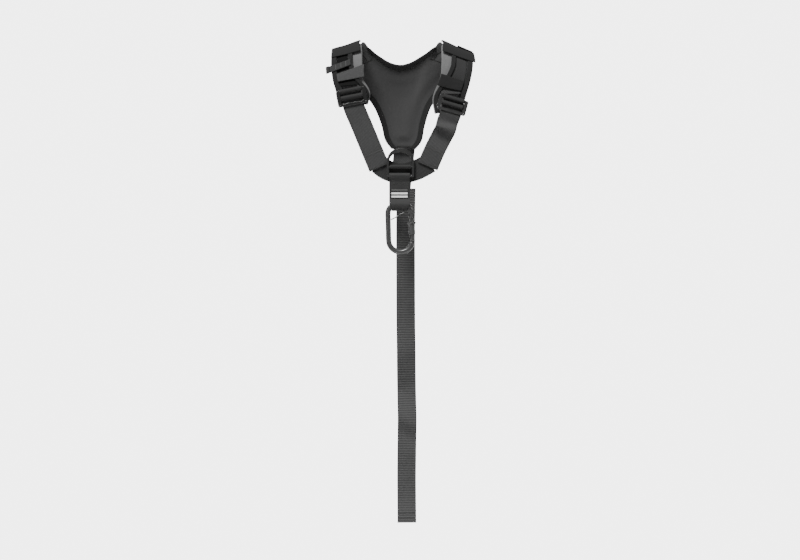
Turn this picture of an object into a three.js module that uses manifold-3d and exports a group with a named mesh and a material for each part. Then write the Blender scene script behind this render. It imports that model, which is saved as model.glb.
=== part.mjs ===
// Climbing chest harness in millimetres, +Z up, its front towards -Y.
// The origin is the middle of the neckline, where the yoke sits on the wearer.
import * as THREE from 'three';
import Module from 'manifold-3d';

const wasm = await Module();
wasm.setup();

// Sizes

// Yoke over the shoulders
const HARNESS_WIDTH = 300;
const YOKE_HEIGHT = 228;
const YOKE_DEPTH = 90;
const PAD_THICKNESS = 7;
const PAD_CROWN = 3;
const TAPE_WIDTH = 10;
const RAIL_THICKNESS = 4.5;
// Webbing and trim
const CHEST_WIDTH = 44;
const DORSAL_WIDTH = 40;
const DORSAL_LENGTH = 710;
const WEBBING = 1.8;
const PATCH_THICKNESS = 1.6;
const FIT_GAP = 0.3;
// Double-back buckles
const BUCKLE_HEIGHT = 34;
const BUCKLE_PLATE = 3;
const BUCKLE_BAR = 6;
const BUCKLE_CHEEK = 8;
// Ring on the breastbone
const RING_HEIGHT = 60;
const RING_LEG = 5;
const RING_TOP = 9.5;
const RING_PLATE = 5;
const RING_BAR = 4.2;
const RING_SLOT = 14;
// Oval connector
const CONNECTOR_LENGTH = 109;
const CONNECTOR_WIDTH = 60;
const CONNECTOR_BAR = 11;
const CONNECTOR_TILT = 1.5;
const TOP_CORNER = 17.5;
const GATE_LENGTH = 61;
const GATE_BAR = 9;
const GATE_HEAD = 13;
const HINGE_TAB = 5;
const RIVET = 3;
const SLEEVE_LENGTH = 26;
const SLEEVE_BAR = 13.2;
const SLEEVE_RIM = 18;
const KEEPER_WIRE = 2;
// Front strap
const FRONT_LENGTH = 60;
const LABEL_THICKNESS = 0.8;
const END_TAPE = 1.2;

// Materials

const finish = (color, roughness, metalness = 0) =>
  new THREE.MeshStandardMaterial({ color, roughness, metalness });
const PAD_CLOTH = finish(0x3d3c3d, 0.85);
const PALE_CLOTH = finish(0x6f6e6d, 0.85);
const TAPE = finish(0x232223, 0.8);
const WEB = finish(0x454445, 0.75);
const PATCH = finish(0x565655, 0.8);
const BLACK_METAL = finish(0x101011, 0.3, 0.8);
const LABEL = finish(0xd8d8d6, 0.7);

// Shape helpers

const group = new THREE.Group();

function add(name, geometry, material) {
  const mesh = new THREE.Mesh(geometry, material);
  mesh.name = name;
  group.add(mesh);
  return mesh;
}

const vec = (x, y, z) => new THREE.Vector3(x, y, z);
const mix = (a, b, t) => a + (b - a) * t;
const clamp = (x, low, high) => Math.min(high, Math.max(low, x));
const ease = (low, high, x) => {
  const t = clamp((x - low) / (high - low), 0, 1);
  return t * t * (3 - 2 * t);
};

// A point given by shares of the half width, half depth and height of the yoke
const share = (x, y, z) =>
  vec(x * HARNESS_WIDTH / 2, y * YOKE_DEPTH / 2, z * YOKE_HEIGHT);

const curveThrough = (points) => new THREE.CatmullRomCurve3(points);

// Outward normal of a surface(u, v)
function normalAt(surface, u, v) {
  const step = 0.002;
  const s = clamp(u, step, 1 - step);
  const t = clamp(v, step, 1 - step);
  const across = surface(s + step, t).sub(surface(s - step, t));
  const along = surface(s, t + step).sub(surface(s, t - step));
  return across.cross(along).normalize();
}

// A piece of a base surface, by a map from its own (s, t) to the base's [u, v].
// It keeps the base's normals, so that pieces over one base nest and never cross.
function over(base, map) {
  const surface = (s, t) => base(...map(s, t));
  surface.normal = (s, t) => normalAt(base, ...map(s, t));
  return surface;
}

// Closed cloth between two heights over surface(u, v), u across and v along
function sheet(surface, across, along, low, high) {
  const geometry = new THREE.BoxGeometry(1, 1, 1, across, along, 1);
  const place = geometry.attributes.position;
  const height = (side, u, v) => (typeof side === 'function' ? side(u, v) : side);
  for (let i = 0; i < place.count; i += 1) {
    const u = place.getX(i) + 0.5;
    const v = place.getY(i) + 0.5;
    const lift = place.getZ(i) > 0 ? height(high, u, v) : height(low, u, v);
    const normal = surface.normal ? surface.normal(u, v) : normalAt(surface, u, v);
    const point = surface(u, v).addScaledVector(normal, lift);
    place.setXYZ(i, point.x, point.y, point.z);
  }
  return geometry;
}

// Webbing that follows a centre line and keeps its width in the front plane
function strapSurface(line, width) {
  return (u, v) => {
    const along = line.getTangentAt(clamp(v, 0, 1));
    const across = vec(-along.z, 0, along.x).normalize();
    return line.getPointAt(clamp(v, 0, 1)).addScaledVector(across, (u - 0.5) * width);
  };
}

const strap = (line, width, along, thickness = WEBBING) =>
  sheet(strapSurface(line, width), 1, along, -thickness / 2, thickness / 2);

// Rounded rectangle drawn round the origin
function roundedRectangle(path, width, height, radius, centre = 0) {
  const x = width / 2 - radius;
  const top = centre + height / 2 - radius;
  const bottom = centre - height / 2 + radius;
  path.moveTo(-x - radius, bottom);
  path.absarc(-x, bottom, radius, Math.PI, 1.5 * Math.PI);
  path.absarc(x, bottom, radius, 1.5 * Math.PI, 2 * Math.PI);
  path.absarc(x, top, radius, 0, 0.5 * Math.PI);
  path.absarc(-x, top, radius, 0.5 * Math.PI, Math.PI);
  return path;
}

function plate(shape, thickness, bevel, segments = 6) {
  const geometry = new THREE.ExtrudeGeometry(shape, {
    depth: thickness - 2 * bevel,
    bevelEnabled: bevel > 0,
    bevelThickness: bevel,
    bevelSize: bevel,
    bevelOffset: -bevel,
    bevelSegments: 1,
    curveSegments: segments,
  });
  return geometry.translate(0, 0, -thickness / 2 + bevel);
}

// Solids that are cut or joined go through manifold-3d and back
function toSolid(geometry) {
  const place = geometry.attributes.position;
  const index = geometry.index ? [...geometry.index.array] : [...Array(place.count).keys()];
  const seen = new Map();
  const points = [];
  const merged = index.map((i) => {
    const point = [place.getX(i), place.getY(i), place.getZ(i)];
    const key = point.map((x) => Math.round(x * 1e4)).join();
    if (!seen.has(key)) {
      seen.set(key, points.length / 3);
      points.push(...point);
    }
    return seen.get(key);
  });
  const triangles = [];
  for (let i = 0; i < merged.length; i += 3) {
    const [a, b, c] = merged.slice(i, i + 3);
    if (a !== b && b !== c && c !== a) triangles.push(a, b, c);
  }
  return new wasm.Manifold(new wasm.Mesh({
    numProp: 3,
    vertProperties: new Float32Array(points),
    triVerts: new Uint32Array(triangles),
  }));
}

function toGeometry(solid) {
  const mesh = solid.getMesh();
  const geometry = new THREE.BufferGeometry();
  geometry.setAttribute('position', new THREE.BufferAttribute(mesh.vertProperties, mesh.numProp));
  geometry.setIndex(new THREE.BufferAttribute(mesh.triVerts, 1));
  return geometry;
}

// Shoulder bands

// Edges of each band, from behind the shoulder over the ridge to the chest.
// Columns: edge at +X as x, y, z and edge at -X as x, y, z, all shares.
const LEFT_BAND = [
  [-0.478, 0.485, 0.169, -0.929, 0.485, 0.065],
  [-0.532, 0.022, 0.182, -0.938, 0.022, 0.097],
  [-0.526, -0.533, 0.098, -0.950, -0.444, 0.027],
  [-0.521, -0.756, -0.017, -0.950, -0.667, -0.070],
  [-0.520, -0.844, -0.137, -0.927, -0.800, -0.182],
  [-0.413, -0.889, -0.280, -0.880, -0.867, -0.293],
  [-0.443, -0.911, -0.390, -0.862, -0.911, -0.390],
];
const RIGHT_BAND = [
  [0.999, 0.485, 0.028, 0.514, 0.485, 0.169],
  [0.987, 0.022, 0.065, 0.574, 0.022, 0.180],
  [1.007, -0.444, -0.010, 0.579, -0.533, 0.093],
  [0.995, -0.667, -0.106, 0.577, -0.756, -0.017],
  [0.957, -0.800, -0.219, 0.555, -0.844, -0.147],
  [0.912, -0.867, -0.320, 0.452, -0.889, -0.330],
  [0.866, -0.911, -0.431, 0.478, -0.911, -0.476],
];

function bandSurface(rows) {
  const plus = curveThrough(rows.map(([x, y, z]) => share(x, y, z)));
  const minus = curveThrough(rows.map((row) => share(...row.slice(3))));
  return (u, v) => {
    const t = clamp(v, 0, 1);
    return plus.getPoint(t).lerp(minus.getPoint(t), u);
  };
}

const resolve = (x, t) => (typeof x === 'function' ? x(t) : x);

// Heights of the layers over the middle of the pad
const PAD_FACE = PAD_THICKNESS / 2;
const WEB_LOW = PAD_FACE + FIT_GAP;
const WEB_HIGH = WEB_LOW + WEBBING;
const RAIL_HIGH = WEB_LOW + RAIL_THICKNESS;
const KEEPER_LOW = RAIL_HIGH + FIT_GAP;
const KEEPER_HIGH = KEEPER_LOW + WEBBING;
const TAIL_LOW = KEEPER_HIGH + FIT_GAP;
const WRAP_DEPTH = BUCKLE_PLATE + 2 * (FIT_GAP + WEBBING);
const BUCKLE_LIFT = RAIL_HIGH + FIT_GAP + WRAP_DEPTH / 2;

// Every layer has its rows of corners on the same lines, so that facets nest
const ROWS = 40;
const BAND_START = 2 / ROWS;
const rows = (from, to) => Math.round((to - from) * ROWS);

// Edges of the inner rail as shares of the band's width from the neck side
const innerRail = (v) => mix(0.3, 0.03, ease(0.45, 0.85, v));
const RAIL_WIDTH = 0.15;
const OUTER_RAIL = 0.82;
const RAIL_SLIT = 0.01;

function shoulder(name, table, side, riseFrom, webEnd) {
  const band = bandSurface(table);
  // u runs from +X to -X, so the neck is at u 0 on the left band and u 1 on the right
  const flip = (u) => (side < 0 ? u : 1 - u);
  // Strip between two shares of the width from the neck side and two shares of the length
  const strip = (inner, outer, fromV, toV) => {
    const at = (x, s, t) => {
      const v = mix(resolve(fromV, s), resolve(toV, s), t);
      return flip(resolve(x, v));
    };
    return over(band, (s, t) => {
      const reach = side < 0 ? s : 1 - s;
      const first = side < 0 ? at(inner, reach, t) : at(outer, reach, t);
      const last = side < 0 ? at(outer, reach, t) : at(inner, reach, t);
      return [mix(first, last, s), mix(resolve(fromV, reach), resolve(toV, reach), t)];
    });
  };
  const lay = (piece, range, low, high, material, cells = 1) => add(
    `${name}_${piece}`,
    sheet(strip(...range), cells, rows(range[2], range[3]), low, high),
    material,
  );
  lay('shoulder_pad', [0, 1, BAND_START, 1], -PAD_FACE, PAD_FACE, PALE_CLOTH, 4);
  lay('inner_rail', [innerRail, (v) => innerRail(v) + RAIL_WIDTH, BAND_START, 1], WEB_LOW, RAIL_HIGH, TAPE);
  lay('outer_rail', [OUTER_RAIL, 1, BAND_START, 1], WEB_LOW, RAIL_HIGH, TAPE);
  // The webbing lies in the recess between the rails and rises to the buckle
  const lift = (v) => mix(0, BUCKLE_LIFT - WEB_LOW - WEBBING, ease(riseFrom, webEnd, v * ROWS));
  const rise = (base) => (u, v) => base + lift(mix(BAND_START, webEnd / ROWS, v));
  const recess = [
    (v) => innerRail(v) + RAIL_WIDTH + RAIL_SLIT, OUTER_RAIL - RAIL_SLIT, BAND_START, webEnd / ROWS,
  ];
  lay('shoulder_webbing', recess, rise(WEB_LOW), rise(WEB_HIGH), WEB);
  return { band, strip, lay };
}

// The webbing leaves the band at the first row and meets the buckle at the second
const left = shoulder('left', LEFT_BAND, -1, 27.6, 30);
const right = shoulder('right', RIGHT_BAND, 1, 30.4, 32.2);

// Back pad

// Neckline and shoulder ends from +X to -X, as shares x, y, z
const NECK_LINE = [
  [0.999, 0.444, 0.028],
  [0.760, 0.444, 0.112],
  [0.514, 0.444, 0.169],
  [0.339, 0.689, 0.101],
  [0.155, 0.800, 0.031],
  [0.000, 0.844, 0.008],
  [-0.155, 0.800, 0.033],
  [-0.310, 0.689, 0.095],
  [-0.478, 0.444, 0.169],
  [-0.703, 0.444, 0.121],
  [-0.929, 0.444, 0.065],
];
// Sides of the pad from the shoulders down. Columns: x at +X, x at -X, y, z at +X, z at -X
const PAD_SIDES = [
  [0.999, -0.929, 0.444, 0.028, 0.065],
  [0.820, -0.749, 0.844, -0.111, -0.093],
  [0.623, -0.559, 0.956, -0.221, -0.221],
  [0.450, -0.379, 0.978, -0.363, -0.365],
  [0.351, -0.265, 0.956, -0.546, -0.537],
  [0.301, -0.205, 0.911, -0.696, -0.687],
  [0.216, -0.119, 0.889, -0.764, -0.762],
];
const BOTTOM_SAG = 0.02;
const BACK_HOLLOW = 0.1;
const ARM = 0.2;
const PAD_ROWS = 14;
const PAD_COLUMNS = 15;

const neckLine = curveThrough(NECK_LINE.map((row) => share(...row)));
const padPlus = curveThrough(PAD_SIDES.map(([x, , y, z]) => share(x, y, z)));
const padMinus = curveThrough(PAD_SIDES.map(([, x, y, , z]) => share(x, y, z)));

// u runs from +X to -X and v from the neckline down
function padSurface(u, v) {
  const point = padPlus.getPoint(v).lerp(padMinus.getPoint(v), u);
  const chord = padPlus.getPoint(0).lerp(padMinus.getPoint(0), u);
  const neck = neckLine.getPoint(u).sub(chord);
  const bow = Math.sin(Math.PI * u);
  point.addScaledVector(neck, (1 - v) ** 2);
  point.z -= BOTTOM_SAG * YOKE_HEIGHT * bow * v ** 6;
  point.y += BACK_HOLLOW * YOKE_DEPTH / 2 * bow * ease(0, 0.5, v);
  return point;
}

// Share of a row, or of a column, that the edge tape takes
const rowLength = (v) => padSurface(0, v).distanceTo(padSurface(1, v));
const columnLength = (u) => padSurface(u, 0).distanceTo(padSurface(u, 1));
const sideTape = (v) => TAPE_WIDTH / rowLength(v);
const endTape = (u) => TAPE_WIDTH / columnLength(u);
const GAP_SHARE = FIT_GAP / TAPE_WIDTH;

// A point of the pad's rim moved inwards by a share of the tape
function inset(u, v, amount) {
  const side = sideTape(v) * amount;
  const end = endTape(u) * amount;
  const neck = ease(ARM - 0.04, ARM - 0.01, u) * ease(ARM - 0.04, ARM - 0.01, 1 - u);
  return [mix(side, 1 - side, u), mix(end * neck, 1 - end, v)];
}

const padCrown = (u, v) => PAD_FACE + PAD_CROWN * Math.sin(Math.PI * u) * Math.sin(Math.PI * v);
const pad = over(padSurface, (u, v) => inset(u, v, 1 + GAP_SHARE));
add('back_pad', sheet(pad, PAD_COLUMNS, PAD_ROWS, -PAD_FACE, padCrown), PAD_CLOTH);

// Neck tape runs between the shoulder bands
add('neck_binding', sheet(
  over(padSurface, (s, t) => inset(mix(ARM, 1 - ARM, t), 0, 1 - s)),
  1, (1 - 2 * ARM) * PAD_COLUMNS, -PAD_FACE, PAD_FACE,
), TAPE);

// Side tape runs down one side, round the bottom and up the other, corner by corner
const SIDE_STEPS = PAD_ROWS - 1;
const RIM_STEPS = 2 * SIDE_STEPS + PAD_COLUMNS;
function rimPoint(t, amount) {
  const step = t * RIM_STEPS;
  if (step < SIDE_STEPS) return inset(0, (1 + step) / PAD_ROWS, amount);
  if (step < SIDE_STEPS + PAD_COLUMNS) return inset((step - SIDE_STEPS) / PAD_COLUMNS, 1, amount);
  return inset(1, (1 + RIM_STEPS - step) / PAD_ROWS, amount);
}
add('side_binding', sheet(over(padSurface, (s, t) => rimPoint(t, s)), 1, RIM_STEPS, -PAD_FACE, PAD_FACE), TAPE);

// Straps across the bands

// Columns: edge towards the neck and outer edge as shares of the band, first and last row
const LEFT_KEEPER = [0.03, 0.99, 4 / ROWS, 14 / ROWS];
const RIGHT_KEEPER = [-0.01, 1.06, 4 / ROWS, 14 / ROWS];
const KEEPER_TAIL = [0.5, 1, 5 / ROWS, 8 / ROWS];
left.lay('top_keeper', LEFT_KEEPER, KEEPER_LOW, KEEPER_HIGH, TAPE, 2);
right.lay('top_keeper', RIGHT_KEEPER, KEEPER_LOW, KEEPER_HIGH, TAPE, 2);
right.lay('keeper_tail', KEEPER_TAIL, TAIL_LOW, TAIL_LOW + WEBBING, TAPE);

// The patch and the gear loop slant across the band. Columns: first and last row of the
// neck end, first and last row of the outer end
const PATCH_ROWS = [21, 27, 23.5, 27.5];
const GEAR_ROWS = [17, 20.2, 19, 22.6];
const MID_ROWS = [25, 29.3, 25.5, 30.5];
function slanted(name, side, inner, outer, slant, thickness, material) {
  const ends = (first, last) => (s) => mix(slant[first], slant[last], s) / ROWS;
  const lane = side.strip(inner, outer, ends(0, 2), ends(1, 3));
  add(name, sheet(lane, 3, 4, KEEPER_LOW, KEEPER_LOW + thickness), material);
}
slanted('left_patch', left, -0.07, 0.84, PATCH_ROWS, PATCH_THICKNESS, PATCH);
slanted('left_gear_loop', left, 0.36, 1.14, GEAR_ROWS, WEBBING, WEB);
slanted('right_mid_keeper', right, 0, 0.8, MID_ROWS, WEBBING, TAPE);

// Buckles

const CHEEK_WIDTH = CHEST_WIDTH + 2 * FIT_GAP + 2;
const BUCKLE_WIDTH = CHEEK_WIDTH + 2 * BUCKLE_CHEEK;
const BAR_PITCH = (BUCKLE_HEIGHT - BUCKLE_BAR) / 2;

function wrapGeometry(width) {
  const outer = roundedRectangle(new THREE.Shape(), WRAP_DEPTH, BUCKLE_BAR + 2 * (FIT_GAP + WEBBING), 2.8);
  outer.holes.push(roundedRectangle(new THREE.Path(), BUCKLE_PLATE + 2 * FIT_GAP, BUCKLE_BAR + 2 * FIT_GAP, 1));
  return plate(outer, width, 0, 3).rotateY(Math.PI / 2);
}

function frameGeometry() {
  const outline = roundedRectangle(new THREE.Shape(), BUCKLE_WIDTH, BUCKLE_HEIGHT, 4);
  const slot = BAR_PITCH - BUCKLE_BAR;
  for (const side of [1, -1]) {
    outline.holes.push(roundedRectangle(new THREE.Path(), CHEEK_WIDTH, slot, 1.5, side * BAR_PITCH / 2));
  }
  return plate(outline, BUCKLE_PLATE, 0.6, 3);
}

// Places a buckle drawn with x across, y up the strap and z outwards
function buckle(name, x, y, z, turn, lean) {
  const place = new THREE.Matrix4()
    .makeRotationY(-turn * Math.PI / 180)
    .multiply(new THREE.Matrix4().makeRotationX(Math.PI / 2 - lean * Math.PI / 180))
    .setPosition(share(x, y, z));
  const put = (geometry, rise = 0) => geometry.translate(0, rise, 0).applyMatrix4(place);
  add(`${name}_buckle_frame`, put(frameGeometry()), BLACK_METAL);
  add(`${name}_upper_wrap`, put(wrapGeometry(CHEST_WIDTH), BAR_PITCH), WEB);
  add(`${name}_lower_wrap`, put(wrapGeometry(CHEST_WIDTH)), WEB);
  return (up, out = 0) => vec(0, up, out).applyMatrix4(place);
}

const leftBuckle = buckle('left', -0.666, -1.2, -0.326, 11, 0);
const rightBuckle = buckle('right', 0.721, -1.325, -0.401, -16, 18);

// Ring on the breastbone

const RING_WIDTH = CHEST_WIDTH + 2 * RING_LEG + 3;
const RING_INNER = RING_WIDTH - 2 * RING_LEG;
const RING_WRAP_DEPTH = RING_BAR + 2 * (FIT_GAP + WEBBING);
const RING_CENTRE = share(0.007, -1.222, -0.962);

// y 0 is the middle of the upper bar
const LOWER_BAR_Y = -(RING_BAR + RING_SLOT);
function ringGeometry() {
  const radius = RING_WIDTH / 2;
  const foot = LOWER_BAR_Y - RING_BAR / 2;
  const shoulderY = foot + RING_HEIGHT - radius;
  const outline = new THREE.Shape();
  outline.moveTo(-radius + 2, foot);
  outline.lineTo(radius - 2, foot);
  outline.lineTo(radius, foot + 2);
  outline.absarc(0, shoulderY, radius, 0, Math.PI);
  outline.lineTo(-radius, foot + 2);
  const eye = new THREE.Path();
  eye.moveTo(-RING_INNER / 2, RING_BAR / 2);
  eye.lineTo(RING_INNER / 2, RING_BAR / 2);
  eye.absellipse(0, shoulderY, RING_INNER / 2, radius - RING_TOP, 0, Math.PI);
  outline.holes.push(eye);
  const slotHeight = -LOWER_BAR_Y - RING_BAR;
  outline.holes.push(roundedRectangle(new THREE.Path(), RING_INNER, slotHeight, 1.5, LOWER_BAR_Y / 2));
  return plate(outline, RING_PLATE, 1.2, 6);
}
// Stands a drawing up in the front plane, x to +X and y to +Z
const stand = (geometry, at) => geometry.rotateX(Math.PI / 2).translate(at.x, at.y, at.z);
add('sternal_ring', stand(ringGeometry(), RING_CENTRE), BLACK_METAL);

function ringWrap() {
  const outer = roundedRectangle(new THREE.Shape(), RING_PLATE + 2 * (FIT_GAP + WEBBING), RING_WRAP_DEPTH, 2.6);
  outer.holes.push(roundedRectangle(new THREE.Path(), RING_PLATE + 2 * FIT_GAP, RING_BAR + 2 * FIT_GAP, 1));
  return plate(outer, CHEST_WIDTH, 0, 4).rotateY(Math.PI / 2);
}
add('ring_wrap', stand(ringWrap(), RING_CENTRE), WEB);

// Chest straps and the ply that joins them behind the ring

const JOINT_Y = RING_CENTRE.y + RING_PLATE / 2 + 2 * FIT_GAP + 1.5 * WEBBING + 1.2;
const STRAP_Y = JOINT_Y - WEBBING - FIT_GAP;
// Centre line of the joint from left to right. Columns: x and z as shares of the webbing's width
const JOINT_LINE = [
  [-1.06, 0.16],
  [-0.72, -0.1],
  [-0.3, -0.26],
  [0, -0.3],
  [0.34, -0.26],
  [0.8, -0.1],
  [1.3, 0.2],
];
const chestPoint = (x, z, y) => vec(RING_CENTRE.x + x * CHEST_WIDTH, y, RING_CENTRE.z + z * CHEST_WIDTH);
const JOINT_WIDTH = 0.96 * CHEST_WIDTH;
const JOINT_STEPS = 16;
const jointLine = curveThrough(JOINT_LINE.map(([x, z]) => chestPoint(x, z, JOINT_Y)));
add('chest_joint', strap(jointLine, JOINT_WIDTH, JOINT_STEPS), WEB);

// Tops start behind the buckle's lower bar. Columns: share of the way down, shift to +X and
// shift to the front, both as shares of the webbing's width
const LEFT_FALL = [[0.3, 0, 0], [0.65, 0, 0.02]];
const RIGHT_FALL = [[0.16, 0.02, -0.02], [0.3, 0.08, 0.1], [0.42, 0.05, -0.06], [0.7, 0, 0]];
const BEHIND_BAR = -(BUCKLE_PLATE / 2 + 2 * FIT_GAP + WEBBING / 2);
const CHEST_STEPS = 22;
function chestStrap(name, buckleAt, end, fall) {
  const start = buckleAt(-BAR_PITCH / 2 + 1, BEHIND_BAR);
  const under = buckleAt(-BAR_PITCH - BUCKLE_BAR / 2 - 1, BEHIND_BAR);
  const points = fall.map(([t, side, front]) => under.clone().lerp(end, t)
    .add(vec(side * CHEST_WIDTH, -front * CHEST_WIDTH, 0)));
  add(name, strap(curveThrough([start, under, ...points, end]), CHEST_WIDTH, CHEST_STEPS), WEB);
}
chestStrap('left_chest_strap', leftBuckle, chestPoint(-1.0, -0.04, STRAP_Y), LEFT_FALL);
chestStrap('right_chest_strap', rightBuckle, chestPoint(1.2, 0.07, STRAP_Y), RIGHT_FALL);

// Oval connector, drawn in the front plane with z 0 at the middle of its top bar

const BAR_RADIUS = CONNECTOR_BAR / 2;
const HALF_SPAN = (CONNECTOR_WIDTH - CONNECTOR_BAR) / 2;
const SPINE = CONNECTOR_LENGTH - CONNECTOR_BAR;
const HINGE_Z = -TOP_CORNER + 1.5;
const NOSE_Z = HINGE_Z - GATE_LENGTH;
const CONNECTOR_TOP = vec(RING_CENTRE.x - 2, RING_CENTRE.y, RING_CENTRE.z + LOWER_BAR_Y - FRONT_LENGTH);
const placeConnector = new THREE.Matrix4()
  .makeRotationY(-CONNECTOR_TILT * Math.PI / 180)
  .setPosition(CONNECTOR_TOP);
const onConnector = (geometry) => geometry.applyMatrix4(placeConnector);

const bodyLine = curveThrough([
  vec(HALF_SPAN, 0, HINGE_Z + 1),
  ...arcPoints(HALF_SPAN - TOP_CORNER, -TOP_CORNER, TOP_CORNER, 15, 90, 5),
  ...arcPoints(TOP_CORNER - HALF_SPAN, -TOP_CORNER, TOP_CORNER, 90, 180, 6),
  vec(-HALF_SPAN, 0, -SPINE * 0.35),
  vec(-HALF_SPAN, 0, -SPINE * 0.55),
  ...arcPoints(0, HALF_SPAN - SPINE, HALF_SPAN, 180, 345, 11),
  vec(HALF_SPAN, 0, NOSE_Z - 1),
]);

function arcPoints(x, z, radius, from, to, count) {
  return Array.from({ length: count }, (_, i) => {
    const angle = THREE.MathUtils.degToRad(mix(from, to, i / (count - 1)));
    return vec(x + radius * Math.cos(angle), 0, z + radius * Math.sin(angle));
  });
}

function roundShape(radius, segments) {
  const points = Array.from({ length: segments }, (_, i) => {
    const angle = 2 * Math.PI * i / segments;
    return new THREE.Vector2(radius * Math.cos(angle), radius * Math.sin(angle));
  });
  return new THREE.Shape(points);
}

const rod = (line, radius, steps, segments) => new THREE.ExtrudeGeometry(roundShape(radius, segments), {
  steps,
  extrudePath: line,
  bevelEnabled: false,
});

// Rounded block between two heights, used for the hinge tab and the gate's slot
const block = (x, y, z, size) => new THREE.BoxGeometry(...size).translate(x, y, z);
const pin = (radius, length, x, z) => new THREE.CylinderGeometry(radius, radius, length, 16).translate(x, 0, z);

const rivetBore = toSolid(pin(RIVET / 2 + FIT_GAP, 3 * GATE_HEAD, HALF_SPAN, HINGE_Z));
const tabLength = GATE_HEAD / 2;
const hingeTab = block(HALF_SPAN, 0, HINGE_Z + 2, [CONNECTOR_BAR - 3, HINGE_TAB, tabLength + 4]);
const headRoom = pin(GATE_HEAD / 2 + FIT_GAP, CONNECTOR_BAR + 2, HALF_SPAN, HINGE_Z);
const BODY_STEPS = 38;
const hingeSide = toSolid(rod(bodyLine, BAR_RADIUS, BODY_STEPS, 12)).subtract(toSolid(headRoom));
const body = hingeSide.add(toSolid(hingeTab)).subtract(rivetBore);
add('connector_body', onConnector(toGeometry(body)), BLACK_METAL);

// Gate: a forked head over the tab and a round bar down to the nose
const bar = new THREE.CylinderGeometry(GATE_BAR / 2, GATE_BAR / 2, GATE_LENGTH - 2.5, 16)
  .rotateX(Math.PI / 2).translate(HALF_SPAN, 0, HINGE_Z - (GATE_LENGTH - 2.5) / 2 - 0.5);
const head = pin(GATE_HEAD / 2 - FIT_GAP, CONNECTOR_BAR, HALF_SPAN, HINGE_Z);
const neck = new THREE.CylinderGeometry(GATE_HEAD / 2 - 1, GATE_HEAD / 2 - 1, GATE_HEAD, 16)
  .rotateX(Math.PI / 2).translate(HALF_SPAN, 0, HINGE_Z - GATE_HEAD / 2);
const forkSlot = block(HALF_SPAN, 0, HINGE_Z + 2, [GATE_HEAD + 4, HINGE_TAB + 2 * FIT_GAP, GATE_HEAD + 6]);
const gateSolid = toSolid(bar).add(toSolid(head)).add(toSolid(neck))
  .subtract(toSolid(forkSlot)).subtract(rivetBore);
add('gate', onConnector(toGeometry(gateSolid)), BLACK_METAL);
add('gate_rivet', onConnector(pin(RIVET / 2, CONNECTOR_BAR + 1, HALF_SPAN, HINGE_Z)), BLACK_METAL);

// Locking sleeve, unscrewed: it stands clear of the nose
const SLEEVE_TOP = HINGE_Z - GATE_HEAD - 8;
const sleeveBore = GATE_BAR / 2 + FIT_GAP;
const SLEEVE_PROFILE = [
  [sleeveBore, 0],
  [SLEEVE_RIM / 2 - 0.8, 0],
  [SLEEVE_RIM / 2, -0.03 * SLEEVE_LENGTH],
  [SLEEVE_RIM / 2, -0.09 * SLEEVE_LENGTH],
  [SLEEVE_BAR / 2, -0.13 * SLEEVE_LENGTH],
  [SLEEVE_BAR / 2, -0.96 * SLEEVE_LENGTH],
  [SLEEVE_BAR / 2 - 0.8, -SLEEVE_LENGTH],
  [sleeveBore, -SLEEVE_LENGTH],
  [sleeveBore, 0],
].reverse();
const sleeve = new THREE.LatheGeometry(SLEEVE_PROFILE.map(([r, z]) => new THREE.Vector2(r, z)), 20)
  .rotateX(Math.PI / 2).translate(HALF_SPAN, 0, SLEEVE_TOP);
add('lock_sleeve', onConnector(sleeve), BLACK_METAL);

// Wire across the top corner that keeps the webbing in place
const WIRE_LINE = [
  [-1, -1.75],
  [-0.4, -1.45],
  [0.25, -1.06],
  [0.5, -0.98],
  [0.74, -0.95],
];
const wireInner = HALF_SPAN - BAR_RADIUS - 2 * FIT_GAP;
const wireLine = curveThrough(WIRE_LINE.map(([x, z]) => vec(x * wireInner, 0, z * TOP_CORNER)));
add('keeper_wire', onConnector(rod(wireLine, KEEPER_WIRE / 2, 14, 8)), BLACK_METAL);

// Front strap: one band from behind, over the ring's lower bar, down and round the connector

const upperTurn = vec(0, RING_CENTRE.y, RING_CENTRE.z + LOWER_BAR_Y);
const lowerTurn = vec(0, RING_CENTRE.y, CONNECTOR_TOP.z);
const turnRadius = RING_PLATE / 2 + 5 * FIT_GAP + WEBBING / 2;
const PLY_HALF = WEBBING / 2 + FIT_GAP;
const EYE_DEPTH = BAR_RADIUS + FIT_GAP + WEBBING / 2 + 0.3;
const EYE_DROP = 12.4;

// The plies stand off the bars by the turn at the ring and by the eye at the connector
function frontStrapLine() {
  const line = [];
  const down = (t) => mix(upperTurn.z, lowerTurn.z, t);
  const depthAt = (t) => mix(mix(turnRadius, PLY_HALF, ease(0, 0.25, t)), EYE_DEPTH, ease(0.78, 0.99, t));
  const plies = [0.08, 0.18, 0.3, 0.45, 0.6, 0.7, 0.8, 0.9, 1];
  for (const t of [...plies].reverse().slice(4)) line.push(vec(0, upperTurn.y + depthAt(t), down(t)));
  for (let angle = 0; angle <= 180; angle += 30) {
    const turn = THREE.MathUtils.degToRad(angle);
    line.push(vec(0, upperTurn.y + turnRadius * Math.cos(turn), upperTurn.z + turnRadius * Math.sin(turn)));
  }
  for (const t of plies) line.push(vec(0, upperTurn.y - depthAt(t), down(t)));
  for (let angle = 20; angle <= 160; angle += 20) {
    const turn = THREE.MathUtils.degToRad(angle);
    line.push(vec(0, upperTurn.y - EYE_DEPTH * Math.cos(turn), lowerTurn.z - 2 - (EYE_DROP - 2) * Math.sin(turn)));
  }
  for (const t of [...plies].reverse().slice(0, 4)) line.push(vec(0, upperTurn.y + depthAt(t), down(t)));
  return curveThrough(line);
}
const frontLine = frontStrapLine();
const FRONT_WIDTH = CHEST_WIDTH - 1;
const EYE_WIDTH = 33;
const FRONT_STEPS = 44;
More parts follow.
